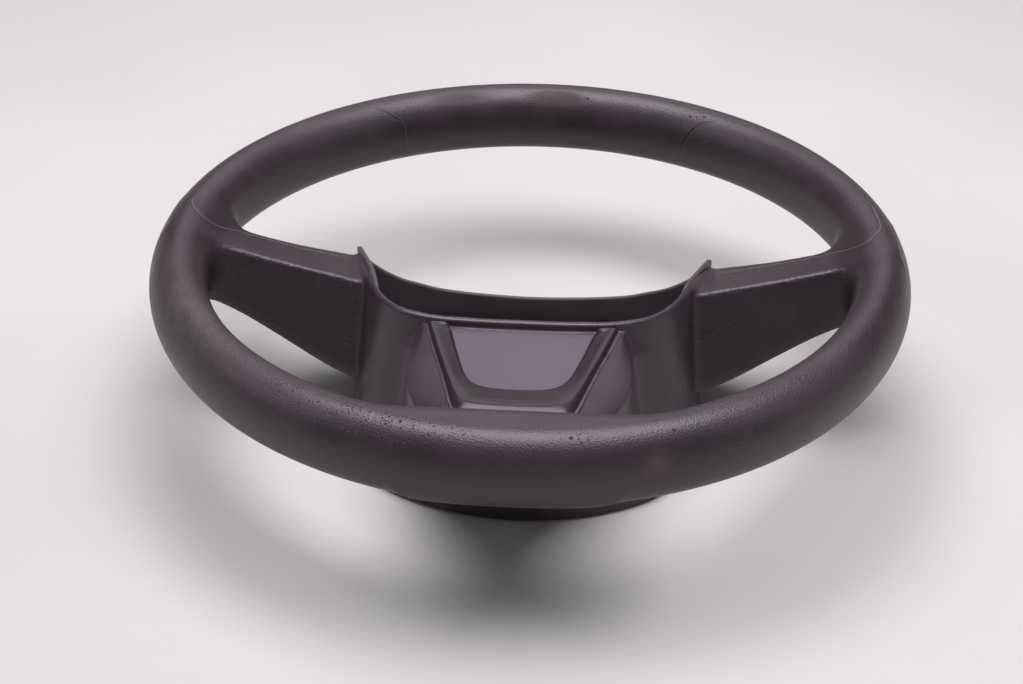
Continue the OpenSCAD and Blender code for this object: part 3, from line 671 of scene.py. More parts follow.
moulding_obj = field_piece("grip_skin", moulding, grid(-187, 187, COARSE), grid(-187, 187, COARSE),
                           grid(-66, 21, COARSE), 192000, moulding_marks)
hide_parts("grip_moulding")
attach(moulding_obj, "wheel")


# =============================================================================
# rear cover
# =============================================================================
def cyl(x, y, cx, cy, r):
    return np.sqrt((x - cx) ** 2 + (y - cy) ** 2) - r


def band(z, a, b):
    return np.maximum(a - z, z - b)


def rear_cover(x, y, z):
    near = (z < -60)
    o2 = on(near, COVER.sd, z, x, y)
    solid = np.maximum(o2, band(z, REST_Z, PART_Z))
    hollow = np.maximum(o2 + 2.5, band(z, REST_Z + 2.5, PART_Z - 2.5))
    pk = poly_sd(x, y, POCKET[:, 0], POCKET[:, 1])
    mouth = np.maximum(pk + 2.5, band(z, PART_Z - 3.5, PART_Z + 9))
    body = smax(solid, -np.minimum(hollow, mouth), 0.5)
    r = np.sqrt(x * x + y * y)
    body = smin(body, np.maximum(r - (COLUMN_D / 2 + 3), band(z, REST_Z, REST_Z + 9)), 1.0)
    for cx, cy in COVER_POSTS:
        body = smin(body, np.maximum(cyl(x, y, cx, cy, 7.5), band(z, REST_Z, REST_Z + 8)), 0.8)
    for s in (-1, 1):
        body = smin(body, np.maximum(cyl(x, y, s * 42, -15, 10), band(z, REST_Z, REST_Z + 7)), 0.8)
    body = smax(body, -(r - COLUMN_D / 2), 0.8)
    body = smax(body, -np.maximum(r - (COLUMN_D / 2 + 1.5), z - (REST_Z + 1)), 0.5)
    for cx, cy in COVER_POSTS:
        body = smax(body, -np.maximum(cyl(x, y, cx, cy, 5.4), z - (REST_Z + 4)), 0.5)
        body = np.maximum(body, -cyl(x, y, cx, cy, 2.2))
    for s in (-1, 1):
        body = smax(body, -cyl(x, y, s * 42, -15, 7.5), 0.6)
    return body


def cover_marks(p, n):
    return {"edge": smooth01(-64.6, -63.6, p[:, 2])}


STEP_C = 1.0
cover_obj = field_piece("rear_shell", rear_cover, grid(-93, 93, STEP_C), grid(-108.5, 54.5, STEP_C),
                        grid(-81, -62.5, min(STEP_C, 0.85)), 130000, cover_marks)


def standing_wall():
    """The cover's thin wall round the pocket: fins beside the spokes, then the low far wall."""
    near = [[67, -35, -29], [72.8, -22.5, -20], [76.5, -9.5, -11], [80, 3.5, -9.6], [84.5, 19, -12.7], [91.6, 39.4, -16.0]]
    far = [[91.6, 39.4, -16.0], [85.1, 41.0, -25.0], [78, 42.8, -31.4], [69, 45.0, -37.2], [60, 47.2, -41.0], [50, 48.9, -44.5], [40, 50.3, -46.6],
           [30, 51.2, -48.0], [20, 51.9, -49.0], [10, 52.2, -49.6], [0, 52.3, -49.8]]
    k = 14
    half = curve(near, k)[k:-1] + curve(far, k, False, True)
    half = np.array(half)
    turn = next(i for i in range(len(half)) if abs(half[i, 0] - 91.6) < 1e-6)
    n = len(half)
    line = np.vstack([half, [mir(half[i]) for i in range(n - 2, -1, -1)]])
    m = len(line)
    t = np.empty((m, 2))
    t[1:-1] = line[2:, :2] - line[:-2, :2]
    t[0], t[-1] = line[1, :2] - line[0, :2], line[-1, :2] - line[-2, :2]
    t /= np.linalg.norm(t, axis=1)[:, None]
    nrm = np.stack([-t[:, 1], t[:, 0]], 1)          # inwards
    width = np.full(m, 2.5)
    for c in (turn, m - 1 - turn):
        a, b = line[c, :2] - line[c - 1, :2], line[c + 1, :2] - line[c, :2]
        a, b = a / np.linalg.norm(a), b / np.linalg.norm(b)
        u = (np.array([-a[1], a[0]]) + np.array([-b[1], b[0]]))
        u /= np.linalg.norm(u)
        nrm[c] = u
        width[c] = 2.5 / max(0.35, float(u @ np.array([-a[1], a[0]])))
    prof = [(0.0, None)] + [(0.0, -1.6), (0.03, -0.75), (0.14, -0.28), (0.32, -0.05), (0.5, 0.0), (0.68, -0.05), (0.86, -0.28), (0.97, -0.75), (1.0, -1.6)] + [(1.0, None)]
    rows = []
    for i in range(m):
        row = []
        for w, dz in prof:
            z = PART_Z - 2.4 if dz is None else line[i, 2] + dz
            q = line[i, :2] + nrm[i] * width[i] * w
            row.append([q[0], q[1], max(z, PART_Z - 2.4)])
        rows.append(row)
    v = np.array(rows).reshape(-1, 3)
    c = len(prof)
    f = []
    for i in range(m - 1):
        for j in range(c):
            a, b = i * c + j, i * c + (j + 1) % c
            f.append([b, a, a + c, b + c])
    me = bpy.data.meshes.new("rear_wall")
    me.from_pydata(((v + ZOFF) * MM).tolist(), [], f + [list(range(c)), list(range(m * c - 1, (m - 1) * c - 1, -1))])
    me.validate()
    me.polygons.foreach_set("use_smooth", np.ones(len(me.polygons), bool))
    me.set_sharp_from_angle(angle=math.radians(50))
    me.update()
    at = me.attributes.new("edge", "FLOAT", "POINT")
    return me


wall_obj = put("rear_wall", standing_wall())
for o_ in (cover_obj, wall_obj):
    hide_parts("rear_cover")
    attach(o_, "wheel")


# =============================================================================
# lower trim frame and its plate
# =============================================================================
def trim_height(do, dm, di):
    """Height of the frame across its width, from the distances to its outer, middle and inner lines."""
    w1 = np.clip(do / np.maximum(do + dm, 1e-6), 0, 1)
    w2 = np.clip(dm / np.maximum(dm + di, 1e-6), 0, 1)
    h1 = np.interp(w1, [0, 0.13, 0.3, 0.6, 0.85, 1.0], [-3.1, -2.85, -1.75, -0.62, -0.1, 0])
    h2 = np.interp(w2, [0, 0.1, 0.3, 0.55, 0.8, 0.94, 1.0], [0, -0.07, -0.48, -1.25, -2.05, -2.5, -2.75])
    return h1, h2


def trim(x, y, z):
    po = poly_sd(x, y, TRIM_OUT[:, 0], TRIM_OUT[:, 1])
    pm = poly_sd(x, y, TRIM_MID[:, 0], TRIM_MID[:, 1])
    pi = poly_sd(x, y, TRIM_IN[:, 0], TRIM_IN[:, 1])
    h1, h2 = trim_height(np.maximum(-po, 0), np.abs(pm), np.abs(pi))
    h = np.where(pm > 0, h1, h2)
    slope = 0.9
    top = (z - h) * slope
    plan = np.maximum(po, -pi)
    body = smax(plan, top, 0.25)
    # leg ends stop short of the lip, with a small rounded edge
    body = smax(body, y + 57.6, 1.3)
    body = np.maximum(body, -8 - z)
    floor = np.maximum(pi - 0.4, band(z, -8, -6.6))
    floor = np.maximum(floor, y + 57.6)
    body = np.minimum(body, floor)
    for cx, cy in BEZEL_BOSS:
        body = smin(body, np.maximum(cyl(x, y, cx, cy, 4), band(z, -18.5, -6.8)), 0.5)
        body = np.maximum(body, -np.maximum(cyl(x, y, cx, cy, 1.8), z + 7.4))
    for cx, cy in INSERT_PEGS:
        body = np.maximum(body, -np.maximum(cyl(x, y, cx, cy, 1.8), band(z, -10, -5)))
    return body


def trim_marks(p, n):
    po = many(lambda a, b, c: poly_sd(a, b, TRIM_OUT[:, 0], TRIM_OUT[:, 1]), p[:, 0], p[:, 1], p[:, 2])
    # band along the frame's outer edge, which gets the painted highlight line
    return {"edge": smooth01(-0.95, -0.6, po) * (p[:, 2] > -5.2)}


STEP_T = 0.62
trim_obj = field_piece("trim_frame", trim, grid(-48, 48, STEP_T), grid(-134.5, -56, STEP_T),
                       np.concatenate([grid(-19.6, -9, STEP_T * 1.5), grid(-9, 1.4, STEP_T * 0.8)[1:]]), 110000, trim_marks)
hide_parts("lower_bezel")
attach(trim_obj, "wheel")


def plate(x, y, z):
    pi = poly_sd(x, y, TRIM_IN[:, 0], TRIM_IN[:, 1]) + 0.5
    end = y + 57.6 + 0.2
    plan = smax(pi, end, 1.5)
    body = smax(plan, np.maximum(z + 3.5, -6.0 - z), 0.5)
    for cx, cy in INSERT_PEGS:
        body = smin(body, np.maximum(cyl(x, y, cx, cy, 1.8), band(z, -12, -6)), 0.3)
    return body


plate_obj = field_piece("trim_plate", plate, grid(-36, 36, STEP_T), grid(-111, -56.5, STEP_T),
                        np.concatenate([grid(-13, -6.6, STEP_T * 1.4), grid(-6.6, -2.7, STEP_T * 0.6)[1:]]), 60000)
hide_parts("lower_insert")
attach(plate_obj, "wheel")


# =============================================================================
# horn springs and the splined sleeve
# =============================================================================
def tube(path, radius, sides):
    """A round tube along a path of points (N, 3), mm, open at both ends."""
    path = np.asarray(path, float)
    n = len(path)
    tan = np.gradient(path, axis=0)
    tan /= np.linalg.norm(tan, axis=1)[:, None]
    ref = np.array([0, 0, 1.0])
    side = np.cross(tan, ref)
    side /= np.linalg.norm(side, axis=1)[:, None]
    upv = np.cross(side, tan)
    a = np.arange(sides) * 2 * math.pi / sides
    v = path[:, None] + radius * (np.cos(a)[None, :, None] * side[:, None] + np.sin(a)[None, :, None] * upv[:, None])
    v = v.reshape(-1, 3)
    f = []
    for i in range(n - 1):
        for j in range(sides):
            p, q = i * sides + j, i * sides + (j + 1) % sides
            f.append([p, q, q + sides, p + sides])
    # ends left open; spring_mesh closes them with a centre point
    return v, f


def spring_mesh():
    verts, faces = [], []
    lo, hi, turns, R, w = POST_Z + 1.45, PLATE_Z - 0.05, 4.0, 5.75, 0.5
    for cx, cy in HORN_POSTS:
        t = np.linspace(0, 1, 240)
        ph = t * turns
        z = np.where(ph < 0.75, lo + w, np.where(ph > turns - 0.75, hi - w, lo + w + (hi - lo - 2 * w) * (ph - 0.75) / (turns - 1.5)))
        k = np.exp(-0.5 * (np.arange(-8, 9) / 3.5) ** 2)
        k /= k.sum()
        z = np.convolve(np.pad(z, 8, "edge"), k, "valid")
        path = np.stack([cx + R * np.cos(ph * 2 * math.pi), cy + R * np.sin(ph * 2 * math.pi), z], 1)
        v, f = tube(path, w, 10)
        base = sum(len(a) for a in verts)
        verts.append(v)
        faces += [[i + base for i in q] for q in f]
        for first, centre, flip in ((0, path[0], False), (len(v) - 10, path[-1], True)):
            c = base + len(v)
            verts.append(centre[None])
            for j in range(10):
                a, b = base + first + j, base + first + (j + 1) % 10
                faces.append([a, c, b] if not flip else [b, c, a])
            v = np.vstack([v, centre[None]])
    me = bpy.data.meshes.new("horn_coils")
    allv = (np.vstack(verts) + ZOFF) * MM
    me.from_pydata(allv.tolist(), [], faces)
    me.validate()
    me.polygons.foreach_set("use_smooth", np.ones(len(me.polygons), bool))
    me.update()
    return me


springs_obj = put("horn_coils", spring_mesh())
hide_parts("horn_springs")
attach(springs_obj, "wheel")


def sleeve_mesh():
    teeth, per = 36, 4
    n = teeth * per
    ang = np.arange(n) * 2 * math.pi / n
    wave = np.array([8.85, 8.85, 8.15, 8.15])[np.arange(n) % per]
    # rings from the outside bottom, up, and down the bore: (radius or None for teeth, z)
    prof = [(14.2, -76.0), (14.99, -75.3), (14.99, -51.2), (14.4, -50.5), (11.6, -50.5), (11.0, -51.0), (11.0, -53.6), (10.9, -54.0),
            (9.4, -54.0), ("t", -54.5), ("t", -75.2), (9.6, -76.0)]
    rows = []
    for r, z in prof:
        rad = wave if r == "t" else np.full(n, r)
        rows.append(np.stack([rad * np.cos(ang), rad * np.sin(ang), np.full(n, z)], 1))
    v = np.vstack(rows)
    m = len(rows)
    f = []
    for i in range(m):
        for j in range(n):
            a, b = i * n + j, i * n + (j + 1) % n
            c, d = ((i + 1) % m) * n + (j + 1) % n, ((i + 1) % m) * n + j
            f.append([a, b, c, d])
    me = bpy.data.meshes.new("splined_sleeve")
    me.from_pydata(((v + ZOFF) * MM).tolist(), [], f)
    me.validate()
    me.polygons.foreach_set("use_smooth", np.ones(len(me.polygons), bool))
    me.set_sharp_from_angle(angle=math.radians(30))
    me.update()
    return me


sleeve_obj = put("splined_sleeve", sleeve_mesh())
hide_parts("spline_sleeve")
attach(sleeve_obj, "wheel")


# =============================================================================
# materials
# =============================================================================
class Mat:
    def __init__(self, name, rough=0.5, metal=0.0, color=(0.1, 0.1, 0.1)):
        self.m = bpy.data.materials.new(name)
        self.m.use_nodes = True
        self.t = self.m.node_tree
        self.b = next(n for n in self.t.nodes if n.type == "BSDF_PRINCIPLED")
        self.b.inputs["Metallic"].default_value = metal
        self.b.inputs["Roughness"].default_value = rough
        self.b.inputs["Base Color"].default_value = (*color, 1)
        self.geo = self.node("ShaderNodeTexCoord").outputs["Object"]
        self.height = None

    def node(self, kind, **props):
        n = self.t.nodes.new(kind)
        for k, v in props.items():
            setattr(n, k, v)
        return n

    def link(self, a, b):
        self.t.links.new(a, b)

    def put(self, sock, v):
        if isinstance(v, (int, float)):
            sock.default_value = v
        elif isinstance(v, (tuple, list)):
            sock.default_value = (*v, 1) if len(v) == 3 and sock.type == "RGBA" else v
        else:
            self.link(v, sock)

    def math(self, op, a, b=0.0, c=0.0, clamp=False):
        n = self.node("ShaderNodeMath", operation=op)
        n.use_clamp = clamp
        self.put(n.inputs[0], a)
        self.put(n.inputs[1], b)
        self.put(n.inputs[2], c)
        return n.outputs[0]

    def noise(self, scale, detail=3.0, rough=0.5, distort=0.0, vec=None, lac=2.0):
        n = self.node("ShaderNodeTexNoise")
        n.inputs["Scale"].default_value = scale
        n.inputs["Detail"].default_value = detail
        n.inputs["Roughness"].default_value = rough
        n.inputs["Lacunarity"].default_value = lac
        n.inputs["Distortion"].default_value = distort
        self.link(vec or self.geo, n.inputs["Vector"])
        return n.outputs["Fac"]

    def voronoi(self, scale, feature="F1", vec=None, rand=1.0, out="Distance"):
        n = self.node("ShaderNodeTexVoronoi", feature=feature)
        n.inputs["Scale"].default_value = scale
        n.inputs["Randomness"].default_value = rand
        self.link(vec or self.geo, n.inputs["Vector"])
        return n.outputs[out]

    def ramp(self, v, a, b, lo=0.0, hi=1.0, smooth=True):
        n = self.node("ShaderNodeMapRange", interpolation_type="SMOOTHSTEP" if smooth else "LINEAR")
        self.link(v, n.inputs["Value"])
        for key, val in (("From Min", a), ("From Max", b), ("To Min", lo), ("To Max", hi)):
            n.inputs[key].default_value = val
        return n.outputs["Result"]

    def mix(self, fac, a, b):
        n = self.node("ShaderNodeMix", data_type="RGBA")
        self.put(n.inputs[0], fac)
        self.put(n.inputs[6], a)
        self.put(n.inputs[7], b)
        return n.outputs[2]

    def mixf(self, fac, a, b):
        n = self.node("ShaderNodeMix", data_type="FLOAT")
        self.put(n.inputs[0], fac)
        self.put(n.inputs[2], a)
        self.put(n.inputs[3], b)
        return n.outputs[0]

    def attr(self, name):
        n = self.node("ShaderNodeAttribute", attribute_type="GEOMETRY", attribute_name=name)
        return n.outputs["Fac"]

    def sep(self, v):
        n = self.node("ShaderNodeSeparateXYZ")
        self.link(v, n.inputs[0])
        return n.outputs

    def warp(self, scale, amount):
        """Object coordinates moved about by noise, so that cells lose their regular outline."""
        n = self.node("ShaderNodeTexNoise")
        n.inputs["Scale"].default_value = scale
        self.link(self.geo, n.inputs["Vector"])
        a = self.node("ShaderNodeVectorMath", operation="MULTIPLY_ADD")
        self.link(n.outputs["Color"], a.inputs[0])
        a.inputs[1].default_value = (amount, amount, amount)
        self.link(self.geo, a.inputs[2])
        return a.outputs[0]

    def dot(self, centre, radius, axis=None, thin=1.0):
        """A small round mark at a point (mm from the rim plane), or a thin one across an axis."""
        s = self.node("ShaderNodeVectorMath", operation="SUBTRACT")
        self.link(self.warp(900, 0.0004), s.inputs[0])
        s.inputs[1].default_value = [(c + o + 0.2) * MM for c, o in zip(centre, (0, 0, RIM_Z))]
        v = s.outputs[0]
        if axis:
            d = self.node("ShaderNodeVectorMath", operation="DOT_PRODUCT")
            self.link(v, d.inputs[0])
            d.inputs[1].default_value = axis
            k = self.node("ShaderNodeVectorMath", operation="SCALE")
            k.inputs[0].default_value = axis
            self.link(self.math("MULTIPLY", d.outputs["Value"], 1 / thin - 1), k.inputs["Scale"])
            a = self.node("ShaderNodeVectorMath", operation="ADD")
            self.link(v, a.inputs[0])
            self.link(k.outputs[0], a.inputs[1])
            v = a.outputs[0]
        l = self.node("ShaderNodeVectorMath", operation="LENGTH")
        self.link(v, l.inputs[0])
        return self.ramp(l.outputs["Value"], radius * MM, radius * 0.55 * MM)

    def bump(self, height, dist_mm, strength=1.0):
        n = self.node("ShaderNodeBump")
        n.inputs["Strength"].default_value = strength
        n.inputs["Distance"].default_value = dist_mm * MM
        self.link(height, n.inputs["Height"])
        if self.height is not None:
            self.link(self.height, n.inputs["Normal"])
        self.height = n.outputs["Normal"]
        self.link(self.height, self.b.inputs["Normal"])
        return self.height

    def color(self, v):
        self.put(self.b.inputs["Base Color"], v)

    def rough(self, v):
        self.put(self.b.inputs["Roughness"], v)


def foam_material():
    m = Mat("grip_foam_skin", rough=0.45)
    m.b.inputs["IOR"].default_value = 1.5
    m.b.inputs["Specular IOR Level"].default_value = 0.60
    m.b.inputs["Specular Tint"].default_value = (0.99, 0.90, 1.0, 1.0)
    spoke, hub = m.attr("spoke"), m.attr("hub")
    # rim grain: fine and tight; spokes: a larger leather pebble; hub wall: nearly smooth
    fine = m.voronoi(1250, rand=1.0)
    fine2 = m.noise(1000, 3, 0.65)
    pebble = m.voronoi(600, "SMOOTH_F1")
    pebble2 = m.noise(430, 4, 0.65, 0.4)
    g_rim = m.math("ADD", m.math("MULTIPLY", fine, 0.55), m.math("MULTIPLY", fine2, 0.5))
    g_spk = m.math("ADD", m.math("MULTIPLY", pebble, 1.3), m.math("MULTIPLY", pebble2, 1.1))
    g = m.mixf(spoke, g_rim, g_spk)
    g = m.mixf(m.math("MULTIPLY", hub, 0.72), g, m.math("MULTIPLY", fine2, 0.4))
    big = m.noise(13, 4, 0.55)
    mid = m.noise(52, 4, 0.6)
    tone = m.math("ADD", m.math("MULTIPLY", big, 0.6), m.math("MULTIPLY", mid, 0.4))
    col = m.mix(m.ramp(tone, 0.35, 0.68), (0.0215, 0.0140, 0.0185), (0.0345, 0.0235, 0.0300))
    col = m.mix(m.ramp(g, 0.3, 0.9, 0.0, 0.52), col, (0.0115, 0.0076, 0.0100))
    col = m.mix(m.math("MULTIPLY", hub, 0.6), col, (0.0360, 0.0265, 0.0330))
    # wear: a dull greyish patch where the hand rests, brown and dark stains, a pale scuff
    blotch = m.noise(160, 5, 0.7)
    pale_wear_and_highlight = m.math("MULTIPLY", m.attr("pale_wear_and_highlight"), m.ramp(blotch, 0.3, 0.62, 0.35, 1.0))
    col = m.mix(m.math("MULTIPLY", pale_wear_and_highlight, 0.75), col, (0.052, 0.043, 0.041))
    stain = m.math("MULTIPLY", m.attr("stain"), m.ramp(m.noise(300, 4, 0.7), 0.25, 0.6, 0.6, 1.0))
    col = m.mix(m.math("MULTIPLY", stain, 0.9), col, (0.031, 0.0180, 0.0150))
    dark = m.math("MULTIPLY", m.attr("dark"), m.ramp(m.noise(1100, 3, 0.7), 0.3, 0.7, 0.6, 1.0))
    col = m.mix(m.math("MULTIPLY", dark, 0.42), col, (0.014, 0.009, 0.0105))
    scuff = m.math("MULTIPLY", m.attr("scuff"), m.ramp(m.noise(900, 4, 0.7), 0.35, 0.65, 0.55, 1.0))
    col = m.mix(m.math("MULTIPLY", scuff, 0.36), col, (0.150, 0.105, 0.105))
    # small pits in the crest
    pv = m.voronoi(620, vec=m.warp(300, 0.0008), rand=1.0)
    pick = m.ramp(m.noise(240, 2, 0.6), 0.46, 0.53)
    pits = m.math("MULTIPLY", m.math("MULTIPLY", m.ramp(pv, 0.31, 0.15), pick), m.ramp(m.attr("pits"), 0.1, 0.6))
    for (cx, cy, cz, rad) in ((23.4, 161.8, 15.5, 0.9), (80.3, 142.4, 15.5, 0.8), (87.8, 140.1, 16.9, 0.8), (84, 141.3, 16.2, 0.5),
                              (26.6, -174.3, 17.4, 0.9), (31, -175.8, 16.2, 0.7), (68.9, -164.3, 16.6, 0.8)):
        pits = m.math("MAXIMUM", pits, m.dot((cx, cy, cz), rad))
    col = m.mix(m.math("MULTIPLY", pits, 0.85), col, (0.010, 0.007, 0.008))
    # pale nicks on the far crest, and one thin scratch across the near crest
    nick = m.dot((-35.7, 168.3, 18.6), 0.9)
    nick = m.math("MAXIMUM", nick, m.dot((73.1, 156.4, 18.5), 0.9))
    nick = m.math("MAXIMUM", nick, m.dot((-56.6, -165.5, 18.0), 3.8, (0.95, -0.30, 0.0), 0.10))
    col = m.mix(m.math("MULTIPLY", nick, 0.6), col, (0.17, 0.14, 0.15))
    # parting line: a thin raised line; its pale colour is a painted highlight and the dark edge beside it is painted
    # shade, the highlight set stronger on the near rim and the shade on the far rim
    d, on_ = m.attr("seam"), m.attr("seam_on")
    wob = m.math("ADD", d, m.math("MULTIPLY", m.math("SUBTRACT", m.noise(120, 2, 0.5), 0.5), 0.5))
    line = m.math("MULTIPLY", m.ramp(m.math("ABSOLUTE", wob), 0.52, 0.22), on_)
    edge = m.math("MULTIPLY", m.ramp(m.math("ABSOLUTE", m.math("SUBTRACT", wob, 0.95)), 0.75, 0.2), on_)
    far_ = m.ramp(m.sep(m.geo)[1], 0.09, 0.11)
    # painted shade beside the parting line, then the painted highlight on it, weighted differently on the near and
    # far rim
    col = m.mix(m.math("MULTIPLY", edge, m.mixf(far_, 0.45, 0.85)), col, (0.009, 0.006, 0.008))
    col = m.mix(m.math("MULTIPLY", line, m.mixf(far_, 0.58, 0.22)), col, (0.135, 0.108, 0.122))
    m.color(col)
    rough = m.math("ADD", m.ramp(tone, 0.3, 0.7, 0.335, 0.43), m.math("MULTIPLY", g, 0.04))
    rough = m.math("ADD", rough, m.math("MULTIPLY", pale_wear_and_highlight, 0.14))
    rough = m.math("ADD", rough, m.math("MULTIPLY", m.math("MAXIMUM", m.math("MAXIMUM", stain, dark), pits), 0.30))
    m.rough(rough)
    # broad unevenness, soft creases, grain, then marks
    m.bump(mid, 0.35, 0.16)
    turned = m.node("ShaderNodeMapping")
    m.link(m.geo, turned.inputs["Vector"])
    turned.inputs["Rotation"].default_value = (0.4, 0.3, 0.75)
    turned.inputs["Scale"].default_value = (1.0, 0.32, 0.7)
    cre = m.voronoi(330, "DISTANCE_TO_EDGE", vec=turned.outputs["Vector"])
    m.bump(m.math("MULTIPLY", m.ramp(cre, 0.0, 0.10), m.ramp(m.attr("crease"), 0.1, 0.9)), 0.09, 0.5)
    m.bump(g, 0.21, 0.8)
    m.bump(m.math("SUBTRACT", m.math("MULTIPLY", line, 1.0), m.math("ADD", m.math("MULTIPLY", pits, 1.8), m.math("MULTIPLY", edge, 0.5))), 0.22, 0.9)
    return m.m


def plastic(name, c1, c2, rough=(0.42, 0.5), grain=1500, depth=0.05, scratch=0.3, pale_wear_and_highlight=None):
    m = Mat(name)
    m.b.inputs["IOR"].default_value = 1.47
    m.b.inputs["Specular Tint"].default_value = (0.99, 0.91, 1.0, 1.0)
    edge = m.attr("edge") if pale_wear_and_highlight else None
    tone = m.noise(22, 4, 0.6)
    fine = m.noise(grain, 2, 0.6)
    col = m.mix(m.ramp(tone, 0.35, 0.68), c1, c2)
    if pale_wear_and_highlight:
        # outer edge painted pale: a painted highlight where the edge catches light
        col = m.mix(m.math("MULTIPLY", edge, m.ramp(m.noise(180, 3, 0.6), 0.25, 0.6, 0.45, 0.9)), col, pale_wear_and_highlight)
    m.color(col)
    m.rough(m.math("ADD", m.ramp(tone, 0.3, 0.7, rough[0], rough[1]), m.math("MULTIPLY", fine, 0.05)))
    m.bump(fine, depth, 0.4)
    if scratch:
        s = m.node("ShaderNodeMapping")
        m.link(m.geo, s.inputs["Vector"])
        s.inputs["Scale"].default_value = (1.0, 0.12, 1.0)
        s.inputs["Rotation"].default_value = (0.1, 0.2, 0.6)
        v = m.noise(900, 2, 0.7, 0.2, vec=s.outputs["Vector"])
        m.bump(m.ramp(v, 0.62, 0.72), 0.03, scratch)
    return m.m


def metal(name, c1, c2, rough, grain=400, depth=0.06, turned=False, strength=0.5):
    m = Mat(name, metal=1.0)
    tone = m.noise(60, 4, 0.6)
    fine = m.noise(grain, 4, 0.65)
    m.color(m.mix(m.ramp(tone, 0.35, 0.68), c1, c2))
    m.rough(m.math("ADD", m.ramp(tone, 0.3, 0.7, rough[0], rough[1]), m.math("MULTIPLY", fine, 0.12)))
    m.bump(fine, depth, strength)
    return m.m


def assign(o, mat):
    if not o.data.materials:
        o.data.materials.append(mat)
    else:
        for i in range(len(o.data.materials)):
            o.data.materials[i] = mat
    for s in o.material_slots:
        s.material = mat


assign(moulding_obj, foam_material())
cover_mat = plastic("cover_plastic_skin", (0.030, 0.0225, 0.0280), (0.041, 0.032, 0.038), (0.40, 0.50), 1400, 0.06)
assign(cover_obj, cover_mat)
# the pocket wall is the same plastic as the shell, painted lighter as painted fill light
assign(wall_obj, plastic("cover_wall_painted_fill_skin", (0.056, 0.044, 0.052), (0.070, 0.056, 0.065), (0.42, 0.52), 1400, 0.05))
# the frame's last colour is a painted highlight along its outer edge
trim_mat = plastic("trim_plastic_skin", (0.0165, 0.0105, 0.0145), (0.0205, 0.0135, 0.0180), (0.25, 0.33), 2200, 0.02, 0.15, (0.17, 0.135, 0.160))
assign(trim_obj, trim_mat)
assign(plate_obj, plastic("insert_plastic_skin", (0.078, 0.058, 0.079), (0.090, 0.067, 0.091), (0.38, 0.46), 2600, 0.02, 0.1))
steel = metal("machined_steel", (0.28, 0.28, 0.29), (0.36, 0.36, 0.37), (0.32, 0.45), 900, 0.02)
zinc = metal("zinc_plate", (0.200, 0.200, 0.188), (0.260, 0.260, 0.243), (0.46, 0.60), 1300, 0.03)
cast = metal("cast_alloy_skin", (0.190, 0.190, 0.190), (0.260, 0.260, 0.255), (0.52, 0.66), 700, 0.12, strength=0.8)
wire = metal("spring_wire", (0.40, 0.40, 0.41), (0.50, 0.50, 0.50), (0.25, 0.35), 1800, 0.01)
brass = metal("contact_brass_skin", (0.42, 0.29, 0.11), (0.50, 0.36, 0.15), (0.32, 0.44), 1500, 0.01)
black = plastic("black_coating", (0.020, 0.020, 0.021), (0.034, 0.034, 0.036), (0.35, 0.5), 1800, 0.03, 0.0)
pale = plastic("pale_moulded", (0.62, 0.60, 0.54), (0.68, 0.66, 0.60), (0.38, 0.48), 1600, 0.02, 0.0)
guide = plastic("guide_moulded", (0.028, 0.028, 0.030), (0.040, 0.040, 0.043), (0.42, 0.52), 1600, 0.03, 0.0)
assign(springs_obj, wire)
assign(sleeve_obj, steel)
assign(nodes["armature"], cast)
for k in ("rear_cover_screws", "bezel_screws"):
    assign(nodes[k], black)
assign(nodes["insert_clips"], wire)
assign(nodes["horn_plate"], zinc)
for k in ("horn_screws", "earth_screw"):
    assign(nodes[k], steel)
for k in ("horn_bushes", "spring_seats"):
    assign(nodes[k], pale)
for k in ("contact_studs", "contact_pads", "horn_terminal", "earth_terminal"):
    assign(nodes[k], brass)
assign(nodes["lead_guide"], guide)
say("materials done")


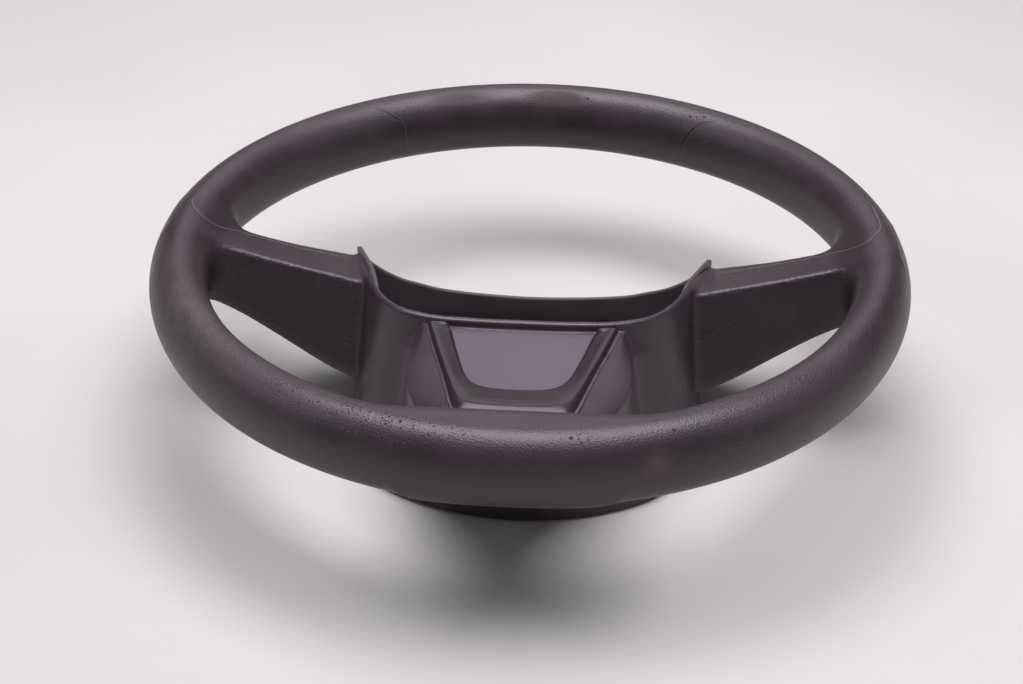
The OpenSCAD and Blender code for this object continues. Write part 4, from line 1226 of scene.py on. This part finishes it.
# =============================================================================
# floor and lights
# =============================================================================
def floor():
    s, c = 6.0, 0.5
    n = 24
    rows = []
    # flat floor that curves up into a far wall
    prof = [(-s, 0.0), (1.2, 0.0)]
    for i in range(1, n + 1):
        a = i / n * math.pi / 2
        prof.append((1.2 + 1.6 * math.sin(a), 1.6 * (1 - math.cos(a))))
    prof.append((2.8, 6.0))
    verts = [(x, y, z - 0.0002) for (y, z) in prof for x in (-s, s)]
    faces = [(2 * i, 2 * i + 1, 2 * i + 3, 2 * i + 2) for i in range(len(prof) - 1)]
    me = bpy.data.meshes.new("floor")
    me.from_pydata(verts, [], faces)
    me.polygons.foreach_set("use_smooth", np.ones(len(me.polygons), bool))
    o = put("floor", me)
    m = Mat("floor_paper", rough=0.8)
    m.color(m.mix(m.ramp(m.noise(3, 3, 0.5), 0.3, 0.7), (0.48, 0.465, 0.46), (0.51, 0.495, 0.49)))
    m.rough(m.ramp(m.noise(60, 3, 0.5), 0.3, 0.7, 0.75, 0.85))
    assign(o, m.m)


floor()


def area(name, loc, target, sx, sy, power, color=(1, 1, 1)):
    l = bpy.data.lights.new(name, "AREA")
    l.shape = "RECTANGLE"
    l.size, l.size_y = sx, sy
    l.energy = power
    l.color = color
    o = bpy.data.objects.new(name, l)
    bpy.context.scene.collection.objects.link(o)
    o.location = loc
    d = Vector(target) - Vector(loc)
    o.rotation_euler = d.to_track_quat("-Z", "Y").to_euler()
    return o


area("key", (0.05, 0.06, 1.6), (0.03, 0.03, 0.08), 1.7, 1.15, 44, (1.0, 0.985, 1.0))
area("back", (0.1, 1.6, 1.1), (0, 0, 0.08), 1.6, 0.6, 4, (1.0, 0.99, 1.0))
area("fill_left", (-1.6, -0.3, 1.2), (0, 0, 0.06), 0.9, 0.9, 5)
area("fill_right", (1.6, -0.4, 1.1), (0, 0, 0.06), 0.9, 0.9, 3)
world = bpy.data.worlds.new("studio")
bpy.context.scene.world = world
world.use_nodes = True
bg = next(n for n in world.node_tree.nodes if n.type == "BACKGROUND")
bg.inputs["Color"].default_value = (0.80, 0.79, 0.80, 1)
bg.inputs["Strength"].default_value = 0.22
bpy.context.scene.view_settings.view_transform = "Standard"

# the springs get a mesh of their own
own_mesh(springs_obj)

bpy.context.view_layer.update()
say("ready")
